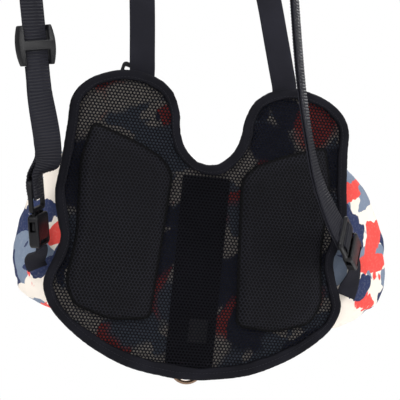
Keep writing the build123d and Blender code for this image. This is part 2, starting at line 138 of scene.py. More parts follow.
# ---- settings ----
class VestSizes(bpy.types.PropertyGroup):
    mesh_pitch: FloatProperty(name="Mesh pitch", description="Distance between holes of the air mesh",
                              default=0.0034, unit="LENGTH")
    mesh_strand: FloatProperty(name="Mesh strand", description="Half thickness of a strand of the air mesh",
                               default=0.00078, unit="LENGTH")
    rib_pitch: FloatProperty(name="Rib pitch", description="Distance between ribs of the webbing",
                             default=0.0029, unit="LENGTH")
    webbing_width: FloatProperty(name="Webbing width", description="Width of the strap webbing",
                                 default=0.025, unit="LENGTH")
    webbing_thickness: FloatProperty(name="Webbing thickness", description="Thickness of the webbing",
                                     default=0.0016, unit="LENGTH")
    stitch_pitch: FloatProperty(name="Stitch pitch", description="Distance between stitches",
                                default=0.0032, unit="LENGTH")
    stitch_radius: FloatProperty(name="Stitch radius", description="Half thickness of the thread",
                                 default=0.00032, unit="LENGTH")
    tooth_pitch: FloatProperty(name="Tooth pitch", description="Distance between zip teeth",
                               default=0.0014, unit="LENGTH")
    edge_round: FloatProperty(name="Edge rounding", description="Rounding of moulded edges",
                              default=0.0005, unit="LENGTH")
    pad_crown: FloatProperty(name="Pad crown", description="How far a pad's middle swells",
                             default=0.0016, unit="LENGTH")
    pouch_sag: FloatProperty(name="Pouch sag", description="How far the pouch cloth hangs down",
                             default=0.004, unit="LENGTH")
    seed: IntProperty(name="Seed", description="Seed of the printed patches", default=7)


class VestColours(bpy.types.PropertyGroup):
    cream: FloatVectorProperty(name="Cream", description="Ground colour of the print", subtype="COLOR",
                               default=(0.93, 0.85, 0.76))
    coral: FloatVectorProperty(name="Coral", description="Coral patches", subtype="COLOR",
                               default=(0.87, 0.085, 0.072))
    navy: FloatVectorProperty(name="Navy", description="Navy patches", subtype="COLOR",
                              default=(0.027, 0.040, 0.108))
    slate: FloatVectorProperty(name="Grey blue", description="Grey blue patches", subtype="COLOR",
                               default=(0.205, 0.255, 0.345))
    black_cloth: FloatVectorProperty(name="Black cloth", description="Black of tape and webbing",
                                     subtype="COLOR", default=(0.0038, 0.0038, 0.0055))
    black_plastic: FloatVectorProperty(name="Black plastic", description="Black of moulded parts",
                                       subtype="COLOR", default=(0.0048, 0.0048, 0.0060))
    ring_metal: FloatVectorProperty(name="Ring metal", description="Brown nickel of the ring",
                                    subtype="COLOR", default=(0.24, 0.16, 0.11))


# ---- shader maths ----
class Value:
    """A number socket of a shader, on which Python arithmetic adds Math nodes."""

    def __init__(self, paint, socket):
        self.paint = paint
        self.socket = socket

    def join(self, kind, first, second=0.0):
        return self.paint.math(kind, first, second)

    def __add__(self, other):
        return self.join("ADD", self, other)

    __radd__ = __add__

    def __sub__(self, other):
        return self.join("SUBTRACT", self, other)

    def __rsub__(self, other):
        return self.join("SUBTRACT", other, self)

    def __mul__(self, other):
        return self.join("MULTIPLY", self, other)

    __rmul__ = __mul__

    def __truediv__(self, other):
        return self.join("DIVIDE", self, other)

    def at_most(self, other):
        return self.join("MINIMUM", self, other)


class Paint:
    """One material's nodes: a Principled shader with its colour, roughness and bump worked out from maths."""

    def __init__(self, name):
        self.material = bpy.data.materials.new(name)
        self.material.use_nodes = True
        self.tree = self.material.node_tree
        self.shader = self.tree.nodes["Principled BSDF"]
        self.place = self.node("ShaderNodeTexCoord").outputs["Object"]

    def node(self, kind, settings=None, **inputs):
        made = self.tree.nodes.new(kind)
        for key, value in (settings or {}).items():
            setattr(made, key, value)
        for key, value in inputs.items():
            self.feed(made.inputs[int(key[1:]) if key[1:].isdigit() else key.replace("_", " ")], value)
        return made

    def feed(self, socket, value):
        if isinstance(value, Value):
            value = value.socket
        if isinstance(value, bpy.types.NodeSocket):
            self.tree.links.new(value, socket)
        else:
            socket.default_value = value

    def math(self, kind, first, second=0.0):
        made = self.node("ShaderNodeMath", {"operation": kind}, i0=first, i1=second)
        return Value(self, made.outputs[0])

    def split(self, vector):
        made = self.node("ShaderNodeSeparateXYZ", None, Vector=vector)
        return [Value(self, made.outputs[n]) for n in range(3)]

    def scaled(self, scale, shift=(0, 0, 0), turn=(0, 0, 0), place=None):
        made = self.node("ShaderNodeMapping", None, Vector=place or self.place, Scale=scale, Location=shift,
                         Rotation=turn)
        return made.outputs[0]

    def noise(self, scale, detail=3.0, place=None, rough=0.5, twist=0.0):
        made = self.node("ShaderNodeTexNoise", None, Vector=place or self.place, Scale=scale, Detail=detail,
                         Roughness=rough, Distortion=twist)
        return Value(self, made.outputs["Fac"])

    def ramp(self, value, low, high):
        made = self.node("ShaderNodeMapRange", {"clamp": True}, Value=value)
        made.inputs["From Min"].default_value = low
        made.inputs["From Max"].default_value = high
        return Value(self, made.outputs[0])

    def mix(self, factor, first, second):
        made = self.node("ShaderNodeMix", {"data_type": "RGBA"}, i0=factor, i6=first, i7=second)
        return made.outputs[2]

    def uv(self, name):
        made = self.node("ShaderNodeUVMap", {"uv_map": name})
        return made.outputs[0]

    def finish(self, colour=None, rough=None, height=None, depth=0.0003, **fixed):
        if colour is not None:
            self.feed(self.shader.inputs["Base Color"], colour)
        if rough is not None:
            self.feed(self.shader.inputs["Roughness"], rough)
        if height is not None:
            bump = self.node("ShaderNodeBump", None, Height=height, Strength=1.0, Distance=depth)
            self.tree.links.new(bump.outputs[0], self.shader.inputs["Normal"])
        for key, value in fixed.items():
            self.shader.inputs[key.replace("_", " ")].default_value = value
        return self.material


def rgba(colour, gain=1.0):
    return tuple(min(1.0, c * gain) for c in colour) + (1.0,)


def weave_height(paint, place, pitch):
    """Plain weave: two crossed sets of threads that pass over and under each other."""
    x, y, _ = paint.split(place)
    across = paint.math("SINE", x * (2 * pi / pitch))
    along = paint.math("SINE", y * (2 * pi / pitch))
    return across * along * 0.5 + 0.5


def flat_place(paint):
    """Object coordinates turned so that X and Z of the object are the first two axes."""
    x, _, z = paint.split(paint.place)
    made = paint.node("ShaderNodeCombineXYZ", None, X=x, Y=z)
    return made.outputs[0]


def hex_holes(paint, place, pitch, hole):
    """1 inside the holes of a staggered mesh, 0 on its strands, with soft edges."""
    x, z, _ = paint.split(place)
    row = pitch * sqrt(3)

    def near(dx, dz):
        a = paint.node("ShaderNodeMath", {"operation": "WRAP"}, i0=x + dx, i1=pitch / 2, i2=-pitch / 2)
        b = paint.node("ShaderNodeMath", {"operation": "WRAP"}, i0=z + dz, i1=row / 2, i2=-row / 2)
        a, b = Value(paint, a.outputs[0]), Value(paint, b.outputs[0])
        return paint.math("SQRT", a * a + b * b * 0.8)

    least = near(0.0, 0.0).at_most(near(pitch / 2, row / 2))
    return 1.0 - paint.ramp(least, hole * 0.75, hole * 1.15)


def make_black_cloth(name, gain=1.0, pitch=0.0009, rough=0.82):
    """Black woven tape or cloth with a visible weave and a little dust."""
    paint = Paint(name)
    colours = bpy.context.scene.vest_colours
    weave = weave_height(paint, flat_place(paint), pitch)
    fuzz = paint.noise(420.0, 4.0)
    wear = paint.noise(38.0, 4.0)
    light = paint.ramp(wear, 0.35, 0.75) * 0.55 + weave * 0.3 + fuzz * 0.15
    colour = paint.mix(light, rgba(colours.black_cloth, 0.65 * gain), rgba(colours.black_cloth, 2.1 * gain))
    return paint.finish(colour, 0.08 * fuzz + (rough - 0.04), weave * 0.7 + fuzz * 0.5, 0.00025,
                        Specular_IOR_Level=0.1)


def make_webbing(name, pitch=0.0012, gain=1.0):
    """Black strap webbing: fine twill along the run, its crests painted lighter as a highlight."""
    paint = Paint(name)
    colours = bpy.context.scene.vest_colours
    u, v, _ = paint.split(paint.uv("Run"))
    slant = paint.math("SINE", (u + v) * (2 * pi / pitch))
    thread = paint.math("SINE", v * (2 * pi / 0.0007))
    fuzz = paint.noise(520.0, 3.0)
    broad = paint.noise(26.0, 3.0)
    # The twill crests (slant) are painted lighter as a painted highlight; fuzz and broad add random tone.
    light = slant * 0.22 + fuzz * 0.35 + paint.ramp(broad, 0.35, 0.7) * 0.3
    colour = paint.mix(light, rgba(colours.black_cloth, 0.7 * gain), rgba(colours.black_cloth, 2.3 * gain))
    return paint.finish(colour, 0.66 + 0.14 * fuzz, slant * 0.5 + thread * 0.2 + fuzz * 0.4, 0.00022,
                        Specular_IOR_Level=0.14)


def make_rib_thread(name):
    """The raised ribs of the webbing, lighter where their floats catch the light."""
    paint = Paint(name)
    colours = bpy.context.scene.vest_colours
    fuzz = paint.noise(700.0, 3.0)
    broad = paint.noise(60.0, 2.0)
    colour = paint.mix(fuzz * 0.6 + broad * 0.4, rgba(colours.black_cloth, 1.4), rgba(colours.black_cloth,
                                                                                      4.2))
    return paint.finish(colour, 0.5 + 0.15 * fuzz, fuzz, 0.00015, Specular_IOR_Level=0.28)


def make_thread(name, gain=3.0):
    """Sewing thread, twisted and slightly lighter than the cloth."""
    paint = Paint(name)
    colours = bpy.context.scene.vest_colours
    fuzz = paint.noise(1500.0, 2.0)
    colour = paint.mix(fuzz, rgba(colours.black_cloth, gain * 0.6), rgba(colours.black_cloth, gain * 1.4))
    return paint.finish(colour, 0.55, fuzz, 0.0001, Specular_IOR_Level=0.2)


def spots(paint, place, colour, gain, marks, edge, soft):
    """Brushed patches laid over a colour: each mark is a colour, x, z, two half lengths and a turn."""
    colours = bpy.context.scene.vest_colours
    x, _, z = paint.split(place)
    for key, across, up, wide, high, turn in marks:
        c, s = cos(radians(turn)), sin(radians(turn))
        along = (x - across * MM) * (c / (wide * MM)) + (z - up * MM) * (s / (wide * MM))
        rise = (z - up * MM) * (c / (high * MM)) - (x - across * MM) * (s / (high * MM))
        far = along * along + rise * rise + edge
        mask = 1.0 - paint.ramp(far, 1.0 - soft, 1.0 + soft)
        colour = paint.mix(mask, colour, rgba(getattr(colours, key), gain))
    return colour


def make_print(name, gain=1.0, marks=(), drift_reach=0.030, soft=0.03):
    """Cloth printed with soft brushed patches of four colours over a fine weave."""
    paint = Paint(name)
    colours = bpy.context.scene.vest_colours
    seed = bpy.context.scene.vest_sizes.seed
    ripple = paint.noise(170.0, 2.0)
    brush = paint.noise(1.0, 4.0, paint.scaled((190, 190, 34), (seed, 0, 0), (0, 0.5, 0)))

    def patch(scale, stretch, shift, turn, level, edge):
        place = paint.scaled(stretch, (shift, shift * 0.7, shift * 1.3), (0, turn, 0))
        field = paint.noise(scale, 1.5, place, 0.45, 0.35) + (ripple - 0.5) * 0.02 + (brush - 0.5) * edge
        return paint.ramp(field, level - 0.004, level + 0.004)

    slate = patch(23.0, (1, 1, 1.4), 0.31 + seed, 0.5, 0.500, 0.02)
    navy = patch(21.0, (1.1, 1, 0.9), 1.73 + seed, -0.4, 0.570, 0.05)
    coral = patch(22.0, (1.3, 1, 0.8), 3.11 + seed, 0.9, 0.590, 0.16)
    island = patch(38.0, (1, 1, 1), 5.9 + seed, 0.2, 0.640, 0.02)
    colour = paint.mix(slate, rgba(colours.cream, gain), rgba(colours.slate, gain))
    colour = paint.mix(island, colour, rgba(colours.cream, gain))
    colour = paint.mix(navy, colour, rgba(colours.navy, gain))
    colour = paint.mix(coral, colour, rgba(colours.coral, gain))
    drift = paint.node("ShaderNodeTexNoise", None, Vector=paint.place, Scale=46.0, Detail=2.0, Roughness=0.5)
    centred = paint.node("ShaderNodeVectorMath", {"operation": "SUBTRACT"}, i0=drift.outputs["Color"],
                         i1=(0.5, 0.5, 0.5))
    moved = paint.node("ShaderNodeVectorMath", {"operation": "MULTIPLY_ADD"}, i0=centred.outputs[0],
                       i1=(drift_reach, 0.0, drift_reach), i2=paint.place)
    edge = (brush - 0.5) * 0.7 + (ripple - 0.5) * 0.2
    colour = spots(paint, moved.outputs[0], colour, gain, marks, edge, soft)
    worn = paint.noise(420.0, 4.0)
    colour = paint.mix(paint.ramp(worn, 0.5, 0.8) * 0.1, colour, rgba(colours.cream, gain * 0.9))
    x, y, z = paint.split(paint.place)
    first = paint.node("ShaderNodeCombineXYZ", None, X=x + y, Y=z)
    weave = weave_height(paint, first.outputs[0], 0.0011)
    crease = paint.noise(55.0, 3.0, paint.scaled((1, 1, 0.6)))
    return paint.finish(colour, 0.78 + 0.1 * worn, weave * 0.25 + worn * 0.3 + crease * 3.2, 0.0008,
                        Specular_IOR_Level=0.2)


def make_air_mesh(name):
    """Polyester strands of the open mesh."""
    paint = Paint(name)
    colours = bpy.context.scene.vest_colours
    fuzz = paint.noise(900.0, 3.0)
    broad = paint.noise(30.0, 3.0)
    colour = paint.mix(fuzz * 0.6 + broad * 0.4, rgba(colours.black_cloth, 0.9), rgba(colours.black_cloth,
                                                                                      4.6))
    return paint.finish(colour, 0.62 + 0.1 * fuzz, fuzz, 0.00018, Specular_IOR_Level=0.12)


def make_pad_mesh(name):
    """The same mesh drawn tight over foam: holes painted dark as shade between lighter strands, painted shade in
    the groove along the edge and a painted highlight on the rim inside it.
    """
    paint = Paint(name)
    colours = bpy.context.scene.vest_colours
    wander = paint.noise(30.0, 2.0)
    x, z, _ = paint.split(flat_place(paint))
    place = paint.node("ShaderNodeCombineXYZ", None, X=x + wander * 0.0022, Y=z + wander * 0.003).outputs[0]
    hole = hex_holes(paint, place, 0.0034, 0.00125)
    fuzz = paint.noise(800.0, 3.0)
    deep = paint.split(paint.uv("Edge"))[0]
    # rim: strands painted dark within about 2 to 4 mm of the edge, as painted shade in the groove.
    rim = paint.ramp(deep, 0.0022, 0.0042)
    # far: strands in the middle painted 30% darker than those within 6 mm of the edge, which leaves a painted
    # highlight along the rim.
    far = 1.0 - paint.ramp(deep, 0.006, 0.016) * 0.3
    strand = paint.mix((fuzz * 0.5 + wander * 0.5) * rim * far, rgba(colours.black_cloth, 0.7),
                       rgba(colours.black_cloth, 5.6))
    # Holes painted near black: painted shade in the pits of the mesh.
    colour = paint.mix(hole, strand, rgba(colours.black_cloth, 0.25))
    return paint.finish(colour, 0.60 + 0.2 * hole, (1.0 - hole) * 1.0 + fuzz * 0.15, 0.0008,
                        Specular_IOR_Level=0.12)


def make_plastic(name):
    """Black moulded plastic with a fine spark-eroded grain and scuffed high spots."""
    paint = Paint(name)
    colours = bpy.context.scene.vest_colours
    grain = paint.noise(1400.0, 2.0)
    scuff = paint.ramp(paint.noise(90.0, 5.0), 0.52, 0.72)
    colour = paint.mix(scuff * 0.5 + grain * 0.2, rgba(colours.black_plastic), rgba(colours.black_plastic,
                                                                                    2.2))
    return paint.finish(colour, 0.34 + 0.16 * scuff + 0.06 * grain, grain, 0.00006,
                        Specular_IOR_Level=0.22)


def make_metal(name, colour, rough, scratch=1.0):
    """Plated or painted metal with fine scratches."""
    paint = Paint(name)
    streak = paint.noise(1.0, 4.0, paint.scaled((2400, 300, 300)))
    cloud = paint.noise(60.0, 3.0)
    shade = paint.mix(streak * 0.6 + cloud * 0.4, rgba(colour, 0.7), rgba(colour, 1.25))
    return paint.finish(shade, rough + 0.15 * streak * scratch, streak, 0.00004, Metallic=1.0)


def make_satin(name):
    """Blank satin label: close ribs along its length."""
    paint = Paint(name)
    _, _, z = paint.split(paint.place)
    line = paint.math("SINE", z * (2 * pi / 0.0006))
    fuzz = paint.noise(500.0, 3.0)
    colour = paint.mix(fuzz, (0.008, 0.008, 0.009, 1), (0.024, 0.024, 0.027, 1))
    return paint.finish(colour, 0.4 + 0.1 * fuzz, line, 0.00008, Specular_IOR_Level=0.3)


MATERIAL = {}
# The order in which the print's colours follow one another, and how its patches vary.
PRINT_ORDER = ("slate", "navy", "cream", "coral", "slate", "cream", "navy")
GOLDEN = (5 ** 0.5 - 1) / 2
SILVER = 2 ** 0.5 - 1


def patches(outline, count, size, centre=0.0):
    """Marks stepping down a stretch of cloth, each a golden step across from the one above it."""
    xs, zs = [x for x, _ in outline], [z for _, z in outline]
    marks = []
    for step in range(count):
        across = (centre + step * GOLDEN) % 1.0
        swing = 2.0 * ((centre + step * SILVER) % 1.0) - 1.0
        x = min(xs) + (max(xs) - min(xs)) * across
        z = max(zs) - (max(zs) - min(zs)) * (step + 0.5) / count
        wide, high = size * (1.0 + 0.4 * swing), size * (0.8 - 0.35 * swing)
        marks.append((PRINT_ORDER[step % len(PRINT_ORDER)], x, z, wide, high, 30.0 * swing))
    return marks


def bag_marks():
    """Patches over both pouches, within their own outlines."""
    marks = []
    for side in SIDES:
        outline = [(SIGN[side] * x, z) for x, z in POUCH_OUTLINE[side]]
        marks += patches(outline, 18, 15.0, 0.3 if side == "left" else 0.7)
    return marks


def shell_marks():
    """Patches over the whole outer shell, as wide as the panel."""
    outline = [(sign * x, z) for x, z in PANEL_SIDE for sign in (-1, 1)]
    return patches(outline, 34, 26.0)


def stock_materials():
    """Every finish of the vest, by its plain name."""
    colours = bpy.context.scene.vest_colours
    MATERIAL["tape"] = make_black_cloth("binding tape", 1.5)
    MATERIAL["strip"] = make_black_cloth("black backing", 0.6, 0.0012)
    MATERIAL["sleeve"] = make_black_cloth("handle sleeve", 1.2, 0.0016)
    MATERIAL["zip tape"] = make_black_cloth("zip tape", 1.1, 0.0008)
    MATERIAL["webbing"] = make_webbing("webbing", gain=3.2)
    MATERIAL["rib"] = make_rib_thread("webbing ribs")
    MATERIAL["thread"] = make_thread("sewing thread")
    MATERIAL["print"] = make_print("printed cloth", 1.0, bag_marks())
    # The shell's face seen through the liner: the print at a quarter of its brightness, as painted shade behind
    # the mesh.
    MATERIAL["print inside"] = make_print("printed cloth from inside", 0.25, shell_marks(), 0.020, 0.3)
    MATERIAL["air mesh"] = make_air_mesh("air mesh")
    MATERIAL["pad mesh"] = make_pad_mesh("pad mesh")
    MATERIAL["plastic"] = make_plastic("moulded plastic")
    MATERIAL["coil"] = make_metal("zip coil", (0.03, 0.03, 0.032), 0.45)
    MATERIAL["zip metal"] = make_metal("painted zip metal", (0.06, 0.06, 0.065), 0.38)
    MATERIAL["ring"] = make_metal("brown nickel", colours.ring_metal, 0.24)
    MATERIAL["label"] = make_satin("satin label")


# ---- mesh helpers ----
def make_object(name, verts, faces, material, smooth=True):
    mesh = bpy.data.meshes.new(name)
    mesh.from_pydata([tuple(v) for v in verts], [], [tuple(f) for f in faces])
    mesh.materials.append(MATERIAL[material])
    mesh.validate()
    made = bpy.data.objects.new(name, mesh)
    bpy.context.scene.collection.objects.link(made)
    if smooth:
        mesh.shade_smooth()
    return made


def face_outward(made):
    work = bmesh.new()
    work.from_mesh(made.data)
    bmesh.ops.remove_doubles(work, verts=work.verts, dist=1e-6)
    bmesh.ops.recalc_face_normals(work, faces=work.faces)
    work.to_mesh(made.data)
    work.free()
    return made


def settle(made):
    """Turn an object's live modifiers into one plain mesh."""
    bpy.context.view_layer.update()
    graph = bpy.context.evaluated_depsgraph_get()
    mesh = bpy.data.meshes.new_from_object(made.evaluated_get(graph), depsgraph=graph)
    made.modifiers.clear()
    made.data = mesh
    return made


def place_piece(made, body, slot_name, *nodes):
    if nodes:
        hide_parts(*nodes)
    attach(made, body)
    return made


def ring_faces(rings, around, closed=True):
    faces = []
    span = around if closed else around - 1
    for r in range(rings - 1):
        for a in range(span):
            b = (a + 1) % around
            faces.append((r * around + a, r * around + b, (r + 1) * around + b, (r + 1) * around + a))
    return faces


def smooth_points(points, step, closed=False):
    """A Catmull-Rom curve through the points, in runs no longer than step."""
    points = [Vector(p) for p in points]
    count = len(points)
    made = []
    for n in range(count if closed else count - 1):
        if closed:
            a, b, c, d = (points[(n + k) % count] for k in (-1, 0, 1, 2))
        else:
            a, b = points[max(n - 1, 0)], points[n]
            c, d = points[n + 1], points[min(n + 2, count - 1)]
        runs = max(2, ceil((c - b).length / step))
        for k in range(runs):
            t = k / runs
            place = 2 * b + (c - a) * t + (2 * a - 5 * b + 4 * c - d) * t * t
            made.append((place + (3 * b - a - 3 * c + d) * t ** 3) / 2)
    if not closed:
        made.append(points[-1])
    return made


def round_corners(points, radius, step):
    """A closed outline of straight runs with rounded corners, as points no further apart than step."""
    made = []
    count = len(points)
    for n in range(count):
        before, here, after = (Vector(points[(n + k) % count]) for k in (-1, 0, 1))
        cut = min(radius, (before - here).length * 0.45, (after - here).length * 0.45)
        start = here + (before - here).normalized() * cut
        end = here + (after - here).normalized() * cut
        bend = max(4, ceil(cut * 2 / step))
        for k in range(bend + 1):
            t = k / bend
            made.append(start * (1 - t) ** 2 + here * 2 * t * (1 - t) + end * t * t)
        onward = Vector(points[(n + 2) % count])
        ahead = min(radius, (after - here).length * 0.45, (onward - after).length * 0.45)
        far = after + (here - after).normalized() * ahead
        runs = ceil((far - end).length / step)
        for k in range(1, runs):
            made.append(end.lerp(far, k / runs))
    return made


def panel_outline(inset=0.0, step=2.5):
    """Closed outline of the panel in x and z, in millimetres, drawn in by inset."""
    other = [(-x, z) for x, z in reversed(PANEL_SIDE[1:-1])]
    loop = smooth_points([(x, z, 0) for x, z in list(PANEL_SIDE) + other], step, True)
    made = []
    for n, place in enumerate(loop):
        run = (loop[(n + 1) % len(loop)] - loop[n - 1]).normalized()
        made.append(Vector((place.x + run.y * inset, place.y - run.x * inset, 0)))
    return made


def pad_outline(side, step=2.5):
    corners = [(SIGN[side] * x, z, 0) for x, z in PAD_OUTLINE]
    return round_corners(corners, 9.0, step)


def inside(loop, x, z):
    """Which of the points lie inside a closed outline."""
    hit = np.zeros(len(x), bool)
    for a, b in zip(loop, loop[1:] + loop[:1]):
        cross = (a.y > z) != (b.y > z)
        with np.errstate(divide="ignore", invalid="ignore"):
            edge = (b.x - a.x) * (z - a.y) / (b.y - a.y) + a.x
        hit ^= cross & (x < edge)
    return hit


def edge_distance(loop, x, z):
    """Distance from each point to the nearest run of a closed outline."""
    best = np.full(len(x), 1e9)
    for a, b in zip(loop, loop[1:] + loop[:1]):
        dx, dz = b.x - a.x, b.y - a.y
        t = np.clip(((x - a.x) * dx + (z - a.y) * dz) / (dx * dx + dz * dz + 1e-12), 0, 1)
        best = np.minimum(best, np.hypot(x - a.x - t * dx, z - a.y - t * dz))
    return best


def fill_outline(outer, holes=(), grid=5.0):
    """Triangles that fill an outline and keep clear of holes, with points on a grid inside."""
    loops = [outer, *holes]
    points, edges = [], []
    for loop in loops:
        base = len(points)
        points += [Vector((p.x, p.y)) for p in loop]
        edges += [(base + n, base + (n + 1) % len(loop)) for n in range(len(loop))]
    xs, zs = [p.x for p in outer], [p.y for p in outer]
    gx, gz = np.meshgrid(np.arange(min(xs), max(xs), grid), np.arange(min(zs), max(zs), grid * 0.87))
    gx = gx + (np.arange(gx.shape[0]) % 2)[:, None] * grid / 2
    gx, gz = gx.ravel(), gz.ravel()
    keep = inside(outer, gx, gz) & (edge_distance(outer, gx, gz) > grid * 0.45)
    for hole in holes:
        keep &= ~inside(hole, gx, gz) & (edge_distance(hole, gx, gz) > grid * 0.45)
    points += [Vector((x, z)) for x, z in zip(gx[keep], gz[keep])]
    found, _, faces, _, _, _ = delaunay_2d_cdt(points, edges, [], 0, 1e-5)
    x = np.array([p.x for p in found])
    z = np.array([p.y for p in found])
    middles = np.array([(sum(x[i] for i in f) / 3, sum(z[i] for i in f) / 3) for f in faces])
    keep = inside(outer, middles[:, 0], middles[:, 1])
    for hole in holes:
        keep &= ~inside(hole, middles[:, 0], middles[:, 1])
    return x, z, [tuple(f) for f, k in zip(faces, keep) if k]


def cushion(name, x, z, faces, front, back, material):
    """A closed piece from one flat fill: a front at the heights given and a back behind it."""
    count = len(x)
    verts = [(x[n] * MM, front[n] * MM, z[n] * MM) for n in range(count)]
    verts += [(x[n] * MM, back[n] * MM, z[n] * MM) for n in range(count)]
    border = {}
    for f in faces:
        for a, b in zip(f, f[1:] + f[:1]):
            border[(a, b)] = border.get((a, b), 0) + 1
    rim = [(a, b) for (a, b) in border if (b, a) not in border]
    closed = list(faces) + [tuple(n + count for n in reversed(f)) for f in faces]
    closed += [(b, a, a + count, b + count) for a, b in rim]
    return face_outward(make_object(name, verts, closed, material))


# ---- Geometry Nodes ----
class Tree:
    """A Geometry Nodes tree built in code, with named inputs."""

    def __init__(self, name):
        self.group = bpy.data.node_groups.new(name, "GeometryNodeTree")
        self.inlet = self.group.nodes.new("NodeGroupInput")
        self.outlet = self.group.nodes.new("NodeGroupOutput")
        self.group.interface.new_socket("Geometry", in_out="INPUT", socket_type="NodeSocketGeometry")
        self.group.interface.new_socket("Geometry", in_out="OUTPUT", socket_type="NodeSocketGeometry")

    def value(self, name, kind="NodeSocketFloat"):
        self.group.interface.new_socket(name, in_out="INPUT", socket_type=kind)
        return self.inlet.outputs[name]

    def node(self, kind, settings=None, **inputs):
        made = self.group.nodes.new(kind)
        for key, value in (settings or {}).items():
            setattr(made, key, value)
        for key, value in inputs.items():
            socket = made.inputs[int(key[1:]) if key[1:].isdigit() else key.replace("_", " ")]
            if isinstance(value, bpy.types.NodeSocket):
                self.group.links.new(value, socket)
            else:
                socket.default_value = value
        return made

    def close(self, geometry, material):
        real = self.node("GeometryNodeRealizeInstances", None, Geometry=geometry)
        coat = self.node("GeometryNodeSetMaterial", None, Geometry=real.outputs[0], Material=material)
        self.group.links.new(coat.outputs[0], self.outlet.inputs[0])
        return self.group


def grow(made, group, **values):
    """Run a tree on an object and keep the result as its plain mesh."""
    modifier = made.modifiers.new(group.name, "NODES")
    modifier.node_group = group
    for item in group.interface.items_tree:
        if item.item_type == "SOCKET" and item.in_out == "INPUT" and item.name in values:
            modifier[item.identifier] = values[item.name]
    return settle(made)


def path_object(name, paths):
    """Edges only: one row of points for each path, in metres."""
    verts, edges = [], []
    for path in paths:
        base = len(verts)
        verts += [tuple(p) for p in path]
        edges += [(base + n, base + n + 1) for n in range(len(path) - 1)]
    mesh = bpy.data.meshes.new(name)
    mesh.from_pydata(verts, edges, [])
    made = bpy.data.objects.new(name, mesh)
    bpy.context.scene.collection.objects.link(made)
    return made


def stitch_tree():
    tree = Tree("stitch row")
    pitch, radius = tree.value("Pitch"), tree.value("Radius")
    material = tree.value("Material", "NodeSocketMaterial")
    curve = tree.node("GeometryNodeMeshToCurve", None, Mesh=tree.inlet.outputs[0])
    row = tree.node("GeometryNodeResampleCurve", {"mode": "LENGTH"}, Curve=curve.outputs[0], Length=pitch)
    length = tree.node("ShaderNodeMath", {"operation": "MULTIPLY"}, i0=pitch, i1=0.72)
    bead = tree.node("GeometryNodeMeshUVSphere", None, Segments=6, Rings=5, Radius=0.5)
    flat = tree.node("ShaderNodeCombineXYZ", None, X=radius, Y=radius, Z=length.outputs[0])
    double = tree.node("ShaderNodeVectorMath", {"operation": "MULTIPLY"}, i0=flat.outputs[0], i1=(2, 2, 1))
    shape = tree.node("GeometryNodeTransform", None, Geometry=bead.outputs[0], Scale=double.outputs[0])
    run = tree.node("GeometryNodeInputTangent")
    turn = tree.node("FunctionNodeAlignRotationToVector", {"axis": "Z"}, Vector=run.outputs[0])
    sown = tree.node("GeometryNodeInstanceOnPoints", None, Points=row.outputs[0], Instance=shape.outputs[0],
                     Rotation=turn.outputs[0])
    return tree.close(sown.outputs[0], material)


def rib_tree():
    tree = Tree("webbing ribs")
    width, reach = tree.value("Width"), tree.value("Reach")
    height = tree.value("Height")
    material = tree.value("Material", "NodeSocketMaterial")
    bar = tree.node("GeometryNodeMeshCylinder", None, Vertices=8, Radius=1.0, Depth=1.0)
    lying = tree.node("GeometryNodeTransform", None, Geometry=bar.outputs[0], Rotation=(0, pi / 2, 0))
    size = tree.node("ShaderNodeCombineXYZ", None, X=width, Y=reach, Z=height)
    shape = tree.node("GeometryNodeTransform", None, Geometry=lying.outputs[0], Scale=size.outputs[0])
    across = tree.node("GeometryNodeInputNamedAttribute", {"data_type": "FLOAT_VECTOR"}, Name="across")
    facing = tree.node("GeometryNodeInputNamedAttribute", {"data_type": "FLOAT_VECTOR"}, Name="facing")
    turn = tree.node("FunctionNodeAxesToRotation", {"primary_axis": "X", "secondary_axis": "Z"},
                     i0=across.outputs[0], i1=facing.outputs[0])
    sown = tree.node("GeometryNodeInstanceOnPoints", None, Points=tree.inlet.outputs[0],
                     Instance=shape.outputs[0], Rotation=turn.outputs[0])
    return tree.close(sown.outputs[0], material)


